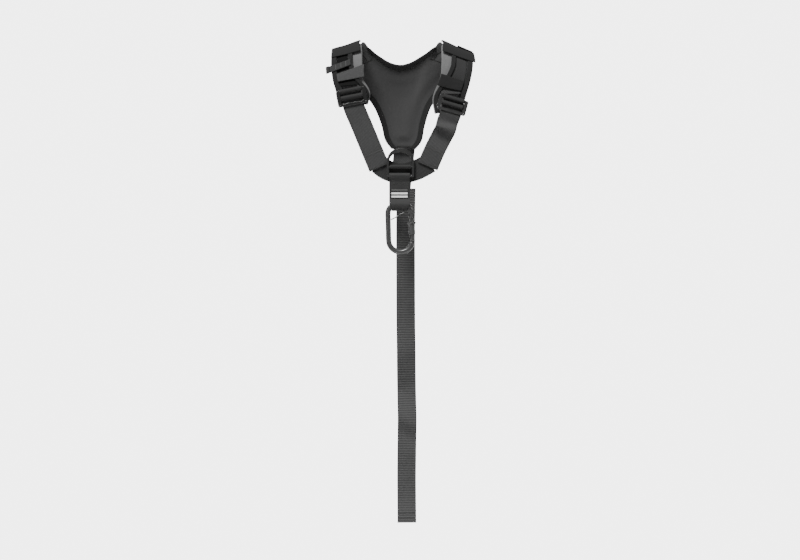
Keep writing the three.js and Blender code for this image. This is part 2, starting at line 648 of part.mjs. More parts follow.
const frontSurface = (u, v) => {
  const point = frontLine.getPointAt(clamp(v * 0.992 + 0.004, 0, 1));
  const width = mix(EYE_WIDTH, FRONT_WIDTH, ease(-9, 2, point.z - lowerTurn.z));
  return point.add(vec(CONNECTOR_TOP.x + (0.5 - u) * width, 0, 0));
};
add('front_strap', sheet(frontSurface, 1, FRONT_STEPS, -WEBBING / 2, WEBBING / 2), WEB);

// Label sewn on the front strap
const LABEL_SHARE = [0.46, 0.77];
const labelHeight = (LABEL_SHARE[1] - LABEL_SHARE[0]) * FRONT_LENGTH;
const labelZ = upperTurn.z - mix(...LABEL_SHARE, 0.5) * FRONT_LENGTH;
const labelY = upperTurn.y - PLY_HALF - WEBBING / 2 - FIT_GAP - LABEL_THICKNESS / 2;
add('id_label', block(
  CONNECTOR_TOP.x, labelY, labelZ, [0.78 * FRONT_WIDTH, LABEL_THICKNESS, labelHeight],
), LABEL);

// Straps that hang from the back pad

const padBack = padSurface(0.5, 0.88);
const WEB_BACK_Y = padBack.y + PAD_FACE + 2 * FIT_GAP + WEBBING / 2;
const HANG_TOP = share(0.087, 0, -1.136).z;
// Columns: x share of half width, z share of height
const WEB_ROUTE = [[0.075, -0.72], [0.06, -0.79], [0.035, -0.95], [0.0, -1.16], [-0.005, -1.215]];
const WEB_STEPS = 10;
const webLine = curveThrough(WEB_ROUTE.map(([x, z]) => share(x, 0, z).setY(WEB_BACK_Y)));
add('dorsal_web', strap(webLine, CHEST_WIDTH, WEB_STEPS), WEB);

// Waves of the long strap. Columns: share of its length, x as a share of its width,
// depth towards the front as a share of its width
const HANG = [
  [0, 0.327, 0],
  [0.1, 0.3, 0],
  [0.25, 0.3, 0.04],
  [0.4, 0.31, 0.1],
  [0.48, 0.33, 0.12],
  [0.545, 0.34, -0.06],
  [0.6, 0.35, 0.06],
  [0.69, 0.38, 0.34],
  [0.72, 0.38, 0.22],
  [0.79, 0.36, 0.12],
  [0.86, 0.35, 0.0],
  [0.93, 0.355, 0.02],
  [1, 0.365, 0.06],
];
const HANG_Y = WEB_BACK_Y - WEBBING - FIT_GAP;
const HANG_STEPS = 56;
const hangLine = curveThrough(HANG.map(([t, x, front]) => vec(
  x * DORSAL_WIDTH, HANG_Y - front * DORSAL_WIDTH, HANG_TOP - t * DORSAL_LENGTH,
)));
add('dorsal_strap', strap(hangLine, DORSAL_WIDTH, HANG_STEPS), WEB);

// Sewn end band on the face of the long strap
const END_SHARE = [0.965, 0.985];
const hangSurface = strapSurface(hangLine, DORSAL_WIDTH);
add('strap_end', sheet(
  (s, t) => hangSurface(s, mix(...END_SHARE, t)),
  2, 3, WEBBING / 2 + FIT_GAP, WEBBING / 2 + FIT_GAP + END_TAPE,
), TAPE);

export default group;
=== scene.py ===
# %% [markdown]
# # A climbing chest harness, dressed over its frame
# The harness is a padded yoke, two buckled chest straps, a ring with a short strap and a locking
# connector, and a long ribbed strap that hangs from the back pad. The frame holds every piece at
# its real size. This script makes the cloth, the webbing and the metal that are seen over it.

import math

import bmesh
import bpy
from mathutils import Matrix, Vector
from mathutils.bvhtree import BVHTree
from mathutils.kdtree import KDTree


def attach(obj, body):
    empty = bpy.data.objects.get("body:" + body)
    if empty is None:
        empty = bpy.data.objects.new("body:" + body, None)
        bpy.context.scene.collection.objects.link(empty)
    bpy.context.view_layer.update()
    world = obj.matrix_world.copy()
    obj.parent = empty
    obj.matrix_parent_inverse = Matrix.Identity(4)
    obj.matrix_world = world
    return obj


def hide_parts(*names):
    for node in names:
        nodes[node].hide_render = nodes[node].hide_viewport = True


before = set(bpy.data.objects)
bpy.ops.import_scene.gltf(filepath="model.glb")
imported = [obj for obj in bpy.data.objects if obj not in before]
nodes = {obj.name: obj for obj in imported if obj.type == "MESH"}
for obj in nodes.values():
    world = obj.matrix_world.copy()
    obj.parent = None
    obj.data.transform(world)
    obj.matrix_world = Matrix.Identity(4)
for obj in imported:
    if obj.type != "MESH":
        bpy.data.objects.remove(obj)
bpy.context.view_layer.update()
print("frame nodes:", len(nodes))

# %% [markdown]
# ## Camera and light
# The harness hangs in front of a white ground, seen level from the front with a long lens. A long
# lens keeps the straps parallel. Broad lamps are used instead of small ones, because cloth shows
# its weave best in soft light and black metal needs something wide to mirror.

# %% Camera and lamps
VIEW_DISTANCE = 4.0
VIEW_CENTRE = -0.4536
PICTURE_WIDTH = 1.68
SENSOR_WIDTH = 36


def add(name, data):
    """Puts a new object into the scene."""
    made = bpy.data.objects.new(name, data)
    bpy.context.collection.objects.link(made)
    return made


def lamp(name, kind, direction, power):
    """A lamp that shines in a direction."""
    light = bpy.data.lights.new(name, kind)
    light.energy = power
    holder = add(name, light)
    holder.rotation_euler = Vector(direction).to_track_quat("-Z", "Y").to_euler()
    return holder


camera = add("camera", bpy.data.cameras.new("camera"))
camera.data.sensor_width = SENSOR_WIDTH
camera.data.lens = SENSOR_WIDTH * VIEW_DISTANCE / PICTURE_WIDTH
camera.location = (0, -VIEW_DISTANCE, VIEW_CENTRE)
camera.rotation_euler = (math.radians(90), 0, 0)
bpy.context.scene.camera = camera

# A wide sun high in front gives the same slant of light from the shoulders to the strap's end
lamp("high_sun", "SUN", (0.32, 0.62, -1.0), 4.9).data.angle = math.radians(20)
# Columns: name, place, height of the point that is lit, width and height of the lamp, watts
for name, place, aim_z, wide, tall, watts in (
    ("left_strip", (-1.5, -1.3, -0.3), -0.35, 0.09, 1.4, 5),
    ("right_strip", (1.5, -1.0, -0.3), -0.35, 0.09, 1.4, 5),
    ("low", (0.2, -2.2, -1.2), -0.5, 0.8, 0.8, 2.5),
):
    area = lamp(name, "AREA", Vector((0, 0, aim_z)) - Vector(place), watts)
    area.location = place
    area.data.shape, area.data.size, area.data.size_y = "RECTANGLE", wide, tall

world = bpy.data.worlds.new("studio")
world.use_nodes = True
background = world.node_tree.nodes["Background"]
background.inputs["Color"].default_value = (1, 1, 1, 1)
background.inputs["Strength"].default_value = 0.12
bpy.context.scene.world = world
print("picture width in m:", PICTURE_WIDTH, "lamps:", len(bpy.data.lights))

# %% [markdown]
# The floor is pale and plain. The photograph's ground is white, which a lit wall can be too, but
# its light would eat into the edges of the straps. So a sheet far behind glows by itself.

# %% Floor and white sheet
FLOOR_Z = -1.3
SHEET_Y, SHEET_WIDTH, SHEET_HEIGHT = 4.6, 4.6, 3.4


def set_piece(name, bm, level, glow=0.0):
    """A piece of the set in one plain grey, which may glow."""
    mesh = bpy.data.meshes.new(name)
    bm.to_mesh(mesh)
    bm.free()
    paint = bpy.data.materials.new(f"{name}_paint")
    paint.use_nodes = True
    shader = paint.node_tree.nodes["Principled BSDF"]
    shader.inputs["Base Color"].default_value = (level, level, level, 1)
    shader.inputs["Emission Color"].default_value = (1, 1, 1, 1)
    shader.inputs["Emission Strength"].default_value = glow
    mesh.materials.append(paint)
    return add(name, mesh)


bm = bmesh.new()
bmesh.ops.create_circle(bm, cap_ends=True, radius=1.2, segments=64)
bmesh.ops.translate(bm, verts=bm.verts, vec=(0, 0, FLOOR_Z))
floor = set_piece("floor", bm, 0.85)

bm = bmesh.new()
bmesh.ops.create_grid(bm, x_segments=1, y_segments=1, size=0.5)
bmesh.ops.scale(bm, verts=bm.verts, vec=(SHEET_WIDTH, SHEET_HEIGHT, 1))
upright = Matrix.Translation((0, SHEET_Y, VIEW_CENTRE)) @ Matrix.Rotation(math.radians(90), 4, "X")
bmesh.ops.transform(bm, verts=bm.verts, matrix=upright)
white_sheet = set_piece("white_sheet", bm, 0.8, 4.0)
print("floor at", FLOOR_Z, "sheet at", SHEET_Y)

# %% [markdown]
# ## Lines and surfaces
# Webbing is a flat band that follows a line, and a pad is a band between two edges. Both can be
# drawn as a surface with two shares: u across the cloth and v along it. A smooth line through a
# few points gives each edge. This is simpler than pushing vertices by hand, and one surface can
# carry the pad, the webbing on it and the stitches on that, each at its own height.

# %% Lines and surfaces
MM = 0.001
GAP = 0.3 * MM
HALF_WIDTH, HALF_DEPTH, YOKE_HEIGHT = 150 * MM, 45 * MM, 228 * MM
TO_FRONT = Vector((0, -1, 0))


def share(x, y, z):
    """A point given by shares of the yoke's half width, half depth and height."""
    return Vector((x * HALF_WIDTH, y * HALF_DEPTH, z * YOKE_HEIGHT))


def mix(a, b, t):
    return a + (b - a) * t


def clamp(x, low=0.0, high=1.0):
    return min(high, max(low, x))


def ease(low, high, x):
    t = clamp((x - low) / (high - low))
    return t * t * (3 - 2 * t)


class Line:
    """A smooth line through a few points (a centripetal Catmull-Rom spline)."""

    def __init__(self, points, samples=240):
        self.points = [Vector(p) for p in points]
        self.track = [self.point(i / samples) for i in range(samples + 1)]
        self.reach = [0.0]
        for a, b in zip(self.track, self.track[1:]):
            self.reach.append(self.reach[-1] + (b - a).length)
        self.length = self.reach[-1]

    def point(self, t):
        """The point at t, which is 0 at the first point and 1 at the last, evenly by point."""
        p = self.points
        where = clamp(t) * (len(p) - 1)
        i = min(int(where), len(p) - 2)
        a, b = p[i], p[i + 1]
        before = p[i - 1] if i > 0 else a * 2 - b
        after = p[i + 2] if i + 2 < len(p) else b * 2 - a
        d0, d1, d2 = ((q - r).length ** 0.5 or 1.0 for q, r in ((a, before), (b, a), (after, b)))
        slope_a = ((a - before) / d0 - (b - before) / (d0 + d1) + (b - a) / d1) * d1
        slope_b = ((b - a) / d1 - (after - a) / (d1 + d2) + (after - b) / d2) * d1
        w = where - i
        square = (b * 3 - a * 3 - slope_a * 2 - slope_b) * w**2
        return a + slope_a * w + square + (a * 2 - b * 2 + slope_a + slope_b) * w**3

    def at(self, s):
        """The point at a share of the line's length."""
        goal = clamp(s) * self.length
        low, high = 0, len(self.reach) - 1
        while high - low > 1:
            middle = (low + high) // 2
            low, high = (middle, high) if self.reach[middle] <= goal else (low, middle)
        part = (goal - self.reach[low]) / max(1e-12, self.reach[high] - self.reach[low])
        return self.track[low].lerp(self.track[high], part)

    def along(self, s, step=0.004):
        """The direction of the line at a share of its length."""
        return (self.at(s + step) - self.at(s - step)).normalized()


def normal_at(surface, u, v, step=0.002):
    s, t = clamp(u, step, 1 - step), clamp(v, step, 1 - step)
    across = surface(s + step, t) - surface(s - step, t)
    along = surface(s, t + step) - surface(s, t - step)
    return across.cross(along).normalized()


def lifted(surface, u, v, height):
    """The point at a height over the surface, towards the outside."""
    return surface(u, v) + normal_at(surface, u, v) * height


def in_front(place, amount):
    """The same surface, moved to the front."""
    return lambda u, v: place(u, v) + TO_FRONT * amount


def strap_surface(line, width):
    """A band of a width that follows a line and stays in the front plane."""

    def surface(u, v):
        ahead = line.along(v)
        across = Vector((-ahead.z, 0, ahead.x)).normalized()
        return line.at(v) + across * ((u - 0.5) * width)

    return surface


print("yoke in mm:", 2 * HALF_WIDTH / MM, 2 * HALF_DEPTH / MM, YOKE_HEIGHT / MM)

# %% [markdown]
# ## Finishes
# Everything here is black or dark grey, so the finishes differ by weave, gloss and small changes
# of tone. Each is worked out from the cloth's own map, in metres, or from the object's own
# coordinates. Picture textures would also do, but woven cloth is regular, and a few waves draw it
# at any distance. Shader trees are long to write out, so a helper makes and joins the nodes.


class Finish:
    """A material with short calls that add nodes and join them. Its slot is not used."""

    def __init__(self, name, slot, roughness, specular, sheen=0.0):
        self.material = bpy.data.materials.new(name)
        self.material.use_nodes = True
        self.tree = self.material.node_tree
        self.shader = self.tree.nodes["Principled BSDF"]
        self.shader.inputs["Roughness"].default_value = roughness
        self.shader.inputs["Specular IOR Level"].default_value = specular
        self.shader.inputs["Sheen Weight"].default_value = sheen

    def feed(self, slot, value):
        """Sets a socket to a number, or joins another socket to it."""
        if isinstance(value, (int, float)):
            slot.default_value = value
        else:
            self.tree.links.new(value, slot)

    def node(self, kind, inputs, **settings):
        made = self.tree.nodes.new("ShaderNode" + kind)
        for key, value in settings.items():
            setattr(made, key, value)
        for key, value in inputs.items():
            self.feed(made.inputs[key], value)
        return made

    def sums(self, operation, *values):
        return self.node("Math", dict(enumerate(values)), operation=operation).outputs[0]

    def noise(self, vector, scale, detail=3.0, roughness=0.55):
        inputs = {"Vector": vector, "Scale": scale, "Detail": detail, "Roughness": roughness}
        return self.node("TexNoise", inputs).outputs["Fac"]

    def cloth_map(self):
        """The across and along sockets of the cloth's own map, in metres, and the map itself."""
        source = self.node("UVMap", {}, uv_map="cloth").outputs[0]
        split = self.node("SeparateXYZ", {0: source})
        return split.outputs[0], split.outputs[1], source

    def object_map(self):
        return self.node("TexCoord", {}).outputs["Object"]

    def wave(self, value, pitch):
        """A smooth wave from 0 to 1 that repeats every pitch."""
        turned = self.sums("MULTIPLY", value, math.tau / pitch)
        return self.sums("MULTIPLY_ADD", self.sums("SINE", turned), 0.5, 0.5)

    def tint(self, factor, low, high):
        """Greys from a low to a high level, as the factor goes from 0 to 1."""
        ramp = self.node("ValToRGB", {0: factor})
        ramp.color_ramp.elements[0].color = (low, low, low, 1)
        ramp.color_ramp.elements[1].color = (high, high, high, 1)
        return ramp.outputs[0]

    def vary(self, base, amount, factor, low, high):
        """The base colour multiplied by greys, to an amount."""
        inputs = {0: amount, 1: base, 2: self.tint(factor, low, high)}
        return self.node("MixRGB", inputs, blend_type="MULTIPLY").outputs[0]

    def bump(self, height, strength, depth, under=None):
        inputs = {"Height": height, "Strength": strength, "Distance": depth}
        if under is not None:
            inputs["Normal"] = under
        return self.node("Bump", inputs).outputs["Normal"]

    def finish(self, colour, normal=None):
        """Joins the colour and the normal to the shader and gives the material."""
        self.feed(self.shader.inputs["Base Color"], colour)
        if normal is not None:
            self.feed(self.shader.inputs["Normal"], normal)
        return self.material


# %% [markdown]
# Webbing is a twill: fine slanted lines, with yarns along it and patches that are worn paler.
# The long strap has ribs across it instead, and it is coloured darker between them as painted
# shade of the grooves, in step with the waves of its surface. Edge tape is finely ribbed and has a
# nap. Waves draw all of these, and noise breaks them up, because an even wave alone looks printed.

# %% Webbing and tape


def webbing(name, level, twill=3.8 * MM, slant=1.0):
    """Twill webbing. Very dark webbing also loses its gloss."""
    soft = min(1, level / 0.03)
    f = Finish(name, "webbing", roughness=0.72, specular=0.35 * soft, sheen=0.12 * soft)
    across, along, own_map = f.cloth_map()
    lines = f.wave(f.sums("MULTIPLY_ADD", along, slant, across), twill)
    yarns = f.wave(across, 0.9 * MM)
    weave = f.sums("ADD", f.sums("MULTIPLY", lines, 0.7), f.sums("MULTIPLY", yarns, 0.3))
    fuzz = f.noise(own_map, 900, 2)
    base = f.tint(weave, level * 0.5, level * 1.4)
    base = f.vary(base, 0.5, f.noise(own_map, 38, 4), 0.7, 1.3)
    base = f.vary(base, 0.25, fuzz, 0.6, 1.4)
    return f.finish(base, f.bump(weave, 0.55, 0.35 * MM, f.bump(fuzz, 0.2, 0.3 * MM)))


def ribbed_webbing(name, level, pitch):
    """Webbing with woven ribs across it."""
    f = Finish(name, "ribbed_webbing", roughness=0.7, specular=0.35, sheen=0.12)
    across, along, own_map = f.cloth_map()
    yarns = f.wave(across, 1.0 * MM)
    fuzz = f.noise(own_map, 800, 2)
    # Painted shade between the ribs and painted light on their crests, in step with the surface's
    # waves
    base = f.tint(f.wave(along, pitch), level * 0.5, level * 1.3)
    base = f.vary(base, 0.3, yarns, 0.6, 1.3)
    base = f.vary(base, 0.4, f.noise(own_map, 30, 4), 0.7, 1.3)
    return f.finish(base, f.bump(yarns, 0.3, 0.2 * MM, f.bump(fuzz, 0.2, 0.3 * MM)))


def edge_tape(name, level, slot="black_tape"):
    """Binding tape: fine ribs across it and a soft nap."""
    f = Finish(name, slot, roughness=0.85, specular=0.25, sheen=0.1)
    across, along, own_map = f.cloth_map()
    weave = f.sums("MULTIPLY", f.wave(along, 1.3 * MM), f.wave(across, 1.1 * MM))
    nap = f.noise(own_map, 260, 4)
    base = f.vary(f.tint(weave, level * 0.8, level * 1.25), 0.5, nap, 0.65, 1.35)
    return f.finish(base, f.bump(weave, 0.4, 0.3 * MM, f.bump(nap, 0.3, 0.5 * MM)))


RIB = 5.3 * MM
WEB = webbing("twill_webbing", 0.042)
# Darker copies of the twill: painted shade for webbing that lies in shade
WEB_PAINTED_SHADE = webbing("painted_shade_webbing", 0.024)
WEB_PAINTED_DEEP_SHADE = webbing("shaded_webbing", 0.006)
WEB_LEFT = webbing("left_twill_webbing", 0.042, slant=-1.0)
ROLL = webbing("rolled_webbing", 0.022, 2.2 * MM)
LOOP = webbing("loop_webbing", 0.026, 1.6 * MM)
FRONT = webbing("front_webbing", 0.026, 2.2 * MM, 0.0)
RIBBED = ribbed_webbing("ribbed_webbing", 0.046, RIB)
TAPE = edge_tape("black_tape", 0.016)
KEEPER = edge_tape("keeper_tape", 0.015)
PATCH = edge_tape("patch_cloth", 0.07, "patch_cloth")

# %% [markdown]
# The pads are faced with a knitted mesh over smooth foam. Its cells are too small to model, so a
# Voronoi texture stands for them. The metal is anodised black: a dull base under a thin clear
# coat, with faint rubs. That mirrors the lamps only along its rounded edges, as black metal does.

# %% Pad cloth, thread and metal


def pad_cloth(name, level, slot):
    """Knitted pad facing: small cells, with faint broad shading."""
    f = Finish(name, slot, roughness=0.8, specular=0.3, sheen=0.18)
    place = f.object_map()
    knit = f.node("TexVoronoi", {"Vector": place, "Scale": 1100}).outputs["Distance"]
    fine = f.noise(place, 420)
    base = f.tint(knit, level * 0.85, level * 1.15)
    base = f.vary(base, 0.45, f.noise(place, 14), 0.75, 1.25)
    base = f.vary(base, 0.25, fine, 0.7, 1.3)
    return f.finish(base, f.bump(knit, 0.25, 0.3 * MM, f.bump(fine, 0.15, 0.4 * MM)))


def thread(name, level):
    f = Finish(name, "black_tape", roughness=0.6, specular=0.4)
    return f.finish(f.tint(f.noise(f.object_map(), 1500, 2), level * 0.7, level * 1.3))


def black_metal(name, level, roughness):
    """Black anodised metal with faint brushing, paler where it is rubbed."""
    f = Finish(name, "black_metal", roughness, specular=0.6)
    f.shader.inputs["Coat Weight"].default_value = 0.45
    f.shader.inputs["Coat Roughness"].default_value = 0.14
    rubs = f.noise(f.object_map(), 45, 2, 0.5)
    f.feed(f.shader.inputs["Roughness"], f.sums("MULTIPLY_ADD", rubs, 0.1, roughness - 0.05))
    return f.finish(f.tint(rubs, level * 0.8, level * 1.3))


PAD = pad_cloth("pad_mesh", 0.04, "pad_cloth")
PALE_PAD = pad_cloth("pale_pad_mesh", 0.14, "pale_cloth")
THREAD = thread("dark_thread", 0.02)
PALE_THREAD = thread("pale_thread", 0.1)
SEAM = thread("seam_thread", 0.004)
METAL = black_metal("black_metal", 0.014, 0.3)
# The ring's base is lighter than the other black metal: painted reflection on its flat face
RING_METAL_PAINTED_REFLECTION = black_metal("ring_metal_painted_reflection", 0.026, 0.32)
STEEL = black_metal("worn_black_steel", 0.06, 0.3)
SATIN = black_metal("satin_grey_metal", 0.036, 0.44)
MATT = black_metal("matt_sleeve_metal", 0.036, 0.58)

# %% [markdown]
# ## Cloth pieces
# A strap or a tape starts as a flat grid, like cloth on a table. Every vertex is then put on its
# surface, and the grid gets its thickness and rounded edges from two modifiers. The grid keeps a
# map in metres, so that a weave has one scale on all pieces.

# %% Make pieces from surfaces
PIECES = []


def new_object(name, bm, material, replaces=(), body="root"):
    """Turns a bmesh into a piece of the harness that rides on a body."""
    mesh = bpy.data.meshes.new(name)
    bm.to_mesh(mesh)
    bm.free()
    piece = add(name, mesh)
    mesh.materials.append(material)
    mesh.polygons.foreach_set("use_smooth", [True] * len(mesh.polygons))
    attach(piece, body)
    if replaces:
        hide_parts(*replaces)
    PIECES.append(name)
    return piece


def round_edges(piece, width, segments, angle):
    """Rounds the edges that are sharper than an angle in degrees."""
    bevel = piece.modifiers.new("edges", "BEVEL")
    bevel.width = width
    bevel.segments = segments
    bevel.limit_method = "ANGLE"
    bevel.angle_limit = math.radians(angle)
    piece.modifiers.new("shade", "WEIGHTED_NORMAL").keep_sharp = False


def finish_edges(piece, thickness, round_off=0.5 * MM, segments=2):
    """Gives a sheet its thickness and rounds its edges."""
    solid = piece.modifiers.new("thickness", "SOLIDIFY")
    solid.thickness = thickness
    solid.offset = 0
    solid.use_even_offset = True
    round_edges(piece, round_off, segments, 50)


def cloth_bmesh(place, across, along):
    """A grid whose vertices go to place(u, v), with a map of the cloth in metres."""
    bm = bmesh.new()
    bmesh.ops.create_grid(bm, x_segments=across, y_segments=along, size=0.5)
    layer = bm.loops.layers.uv.new("cloth")
    width = (place(0, 0.5) - place(1, 0.5)).length
    steps = [place(0.5, i / 40) for i in range(41)]
    length = sum((b - a).length for a, b in zip(steps, steps[1:]))
    for face in bm.faces:
        for loop in face.loops:
            loop[layer].uv = ((loop.vert.co.x + 0.5) * width, (loop.vert.co.y + 0.5) * length)
    for vert in bm.verts:
        vert.co = place(vert.co.x + 0.5, vert.co.y + 0.5)
    return bm


def tube_bmesh(place, around, along, capped=False):
    """The same for a surface that meets itself: its doubled row of vertices is joined."""
    bm = cloth_bmesh(place, around, along)
    bmesh.ops.remove_doubles(bm, verts=bm.verts, dist=1e-6)
    if capped:
        bmesh.ops.holes_fill(bm, edges=bm.edges)
    bmesh.ops.recalc_face_normals(bm, faces=bm.faces)
    return bm


def cloth(name, place, cells, thickness, material, replaces=(), round_off=0.6 * MM):
    piece = new_object(name, cloth_bmesh(place, *cells), material, replaces)
    finish_edges(piece, thickness, round_off)


def copy_of(node, name, material, round_off, segments=3, body="root", angle=30):
    """A welded copy of a node of the frame with its edges rounded, which stands for it."""
    bm = bmesh.new()
    bm.from_mesh(nodes[node].data)
    bmesh.ops.remove_doubles(bm, verts=bm.verts, dist=2e-6)
    bmesh.ops.dissolve_limit(bm, angle_limit=math.radians(1), verts=bm.verts, edges=bm.edges)
    piece = new_object(name, bm, material, [node], body)
    round_edges(piece, round_off, segments, angle)


# %% [markdown]
# Sewing thread shows as a row of small beads that sink into the cloth. A bump in the shader would
# be lighter, but real beads can run along any seam and catch the light at its own slant.

# %% Rows of thread
THREAD_LIFT = 0.2 * MM


def stitches(
    name, place, first, last, steps, material=THREAD, spacing=3.2 * MM, size=(1.1, 0.32, 0.28)
):
    """A row of small beads of thread on place(u, v), from one (u, v) to another."""
    bm = bmesh.new()
    shares = [[mix(a, b, i / steps) for a, b in zip(first, last)] for i in range(steps + 1)]
    row = Line([place(u, v) for u, v in shares], 400)
    count = max(2, int(row.length / spacing))
    for i in range(count):
        t = (i + 0.5) / count
        turn = row.along(t).to_track_quat("X", "Z").to_matrix().to_4x4()
        bead = bmesh.ops.create_uvsphere(bm, u_segments=5, v_segments=3, radius=MM)
        bmesh.ops.scale(bm, verts=bead["verts"], vec=size)
        bmesh.ops.transform(bm, verts=bead["verts"], matrix=Matrix.Translation(row.at(t)) @ turn)
    new_object(name, bm, material)


print("thread lies", THREAD_LIFT / MM, "mm over the cloth")

# %% [markdown]
# ## Shoulder bands
# Each shoulder has a padded band that runs from behind the neck over the ridge to the chest. Two
# rails of folded tape lie along it, and webbing runs between them down to the buckle. The band is
# drawn by its two edges. Every layer is a strip of the same band at its own height, so the layers
# follow the same fold.

# %% The bands' edges
# Columns: the edge at +X as x, y, z, then the edge at -X as x, y, z, all shares of the yoke
LEFT_BAND = [
    (-0.478, 0.485, 0.169, -0.929, 0.485, 0.065),
    (-0.532, 0.022, 0.182, -0.938, 0.022, 0.097),
    (-0.526, -0.533, 0.098, -0.950, -0.444, 0.027),
    (-0.521, -0.756, -0.017, -0.950, -0.667, -0.070),
    (-0.520, -0.844, -0.137, -0.927, -0.800, -0.182),
    (-0.413, -0.889, -0.280, -0.880, -0.867, -0.293),
    (-0.443, -0.911, -0.390, -0.862, -0.911, -0.390),
]
RIGHT_BAND = [
    (0.999, 0.485, 0.028, 0.514, 0.485, 0.169),
    (0.987, 0.022, 0.065, 0.574, 0.022, 0.180),
    (1.007, -0.444, -0.010, 0.579, -0.533, 0.093),
    (0.995, -0.667, -0.106, 0.577, -0.756, -0.017),
    (0.957, -0.800, -0.219, 0.555, -0.844, -0.147),
    (0.912, -0.867, -0.320, 0.452, -0.889, -0.330),
    (0.866, -0.911, -0.431, 0.478, -0.911, -0.476),
]
# Places along a band are rows. No layer covers the first two
ROWS = 40
FIRST_ROW = 2
WHOLE = (FIRST_ROW, ROWS)


class Band:
    """A padded band. Its reach goes from 0 at the neck to 1 at its outer edge."""

    def __init__(self, side, edges):
        self.side = side
        self.plus = Line([share(*row[:3]) for row in edges])
        self.minus = Line([share(*row[3:]) for row in edges])

    def surface(self, u, v):
        return self.plus.point(v).lerp(self.minus.point(v), u)

    def strip(self, inner, outer, rows, height):
        """A strip between two reaches and two rows, as place(u, v).

        Reaches may be functions of the way along, and the height may be one of (reach, v). Slanted
        ends have four rows: first and last at the strip's inner side, first and last outside.
        """
        near_first, near_last, far_first, far_last = (row / ROWS for row in (*rows, *rows)[:4])

        def place(u, v):
            reach = u if self.side < 0 else 1 - u
            along = mix(mix(near_first, far_first, reach), mix(near_last, far_last, reach), v)
            low = inner(along) if callable(inner) else inner
            high = outer(along) if callable(outer) else outer
            across = mix(low, high, reach)
            lift = height(reach, v) if callable(height) else height
            return lifted(self.surface, across if self.side < 0 else 1 - across, along, lift)

        return place


left = Band(-1, LEFT_BAND)
right = Band(1, RIGHT_BAND)
BANDS = (("left", left), ("right", right))
print("bands in m:", [round(band.minus.length, 3) for _, band in BANDS])

# %% [markdown]
# The pad of a band is 7 mm of foam with rounded sides. The rails are tape folded over a core. They
# could be drawn as half rounds, but a thick strip with a wide bevel gives the same flat top and
# soft shoulders, and it follows the band by itself. Two rows of thread hold each rail.

# %% Padded bands and rails
PAD_THICK, RAIL_THICK, WEBBING = 7 * MM, 4.3 * MM, 1.8 * MM
WEB_LOW = PAD_THICK / 2 + GAP
RAIL_HIGH = WEB_LOW + 4.5 * MM
RAIL_WIDTH, OUTER_RAIL = 0.15, 0.82


def pad_inner(v):
    """The pad's side at the neck. It tapers away behind the shoulder."""
    return 0.22 * (1 - ease(0.05, 0.22, v))


def rail_inner(v):
    """Where the inner rail starts. It bends towards the neck on the chest."""
    return mix(0.3, 0.03, ease(0.45, 0.85, v))


def rail_outer(v):
    return rail_inner(v) + RAIL_WIDTH


for name, band in BANDS:
    pad_bm = cloth_bmesh(band.strip(pad_inner, 1, WHOLE, 0), 18, 60)
    pad = new_object(f"{name}_band_pad", pad_bm, PALE_PAD, [f"{name}_shoulder_pad"])
    finish_edges(pad, PAD_THICK, 2.6 * MM, 4)
    for rail, start, end in (("inner", rail_inner, rail_outer), ("outer", OUTER_RAIL, 1.0)):
        core = band.strip(start, end, WHOLE, (WEB_LOW + RAIL_HIGH) / 2)
        node = f"{name}_{rail}_rail"
        cloth(f"{name}_{rail}_folded_rail", core, (4, 60), RAIL_THICK, TAPE, [node], 1.7 * MM)
        top = band.strip(start, end, WHOLE, RAIL_HIGH + 0.05 * MM)
        for edge in (0.16, 0.84):
            row = f"{node}_thread_{round(edge * 100)}"
            stitches(row, top, (edge, 1 / 30), (edge, 29 / 30), 28)
print("pieces so far:", len(PIECES))

# %% [markdown]
# The webbing lies in the recess and rises to the buckle. It is coloured darker than the chest
# straps as painted shade, because the rails shade it. On the left the painted shade is near black.

# %% Webbing in the recess
BUCKLE_PLATE, BUCKLE_BAR, BUCKLE_HEIGHT = 3 * MM, 6 * MM, 34 * MM
BUCKLE_LIFT = RAIL_HIGH + GAP + (BUCKLE_PLATE + 2 * (GAP + WEBBING)) / 2
RAIL_GAP = 0.012


def recess_inner(v):
    return rail_outer(v) + RAIL_GAP


def rising(from_row, last_row):
    """The height of the webbing, which rises to the buckle from a row on."""

    def height(reach, v):
        rise = ease(from_row, last_row, mix(FIRST_ROW, last_row, v))
        return WEB_LOW + WEBBING / 2 + (BUCKLE_LIFT - WEB_LOW - WEBBING) * rise

    return height


# The left recess gets the deeper painted shade and the right one the lighter
for name, band, from_row, last_row, weave in (
    ("left", left, 27.6, 30, WEB_PAINTED_DEEP_SHADE),
    ("right", right, 30.4, 32.2, WEB_PAINTED_SHADE),
):
    height = rising(from_row, last_row)
    recess = band.strip(recess_inner, OUTER_RAIL - RAIL_GAP, (FIRST_ROW, last_row), height)
    node = f"{name}_shoulder_webbing"
    cloth(f"{name}_painted_shade_webbing", recess, (4, 60), WEBBING, weave, [node])
print("buckles lie", round(BUCKLE_LIFT / MM, 1), "mm over the middle of the bands")

# %% [markdown]
# ## Straps across the bands
# Keepers and patches cross the rails. They are held down at both sides, so they take the height
# of the rails at their ends and sag a little between them. The patch is a folded piece with a
# stitched edge. The gear loop is narrow webbing with a folded loop at its outer end.

# %% Keepers and patch
KEEPER_LOW = RAIL_HIGH + GAP
KEEPER_MID = KEEPER_LOW + WEBBING / 2
PATCH_ROWS = (21, 27, 23.5, 27.5)


def sag(depth, over=0.0):
    """A height that dips by a depth between the two rails."""

    def height(reach, v):
        return KEEPER_MID + over - depth * math.sin(math.pi * clamp((reach - 0.1) / 0.8)) ** 2

    return height


def keeper(node, place, cells):
    cloth(f"{node}_tape", place, cells, 1.7 * MM, KEEPER, [node])


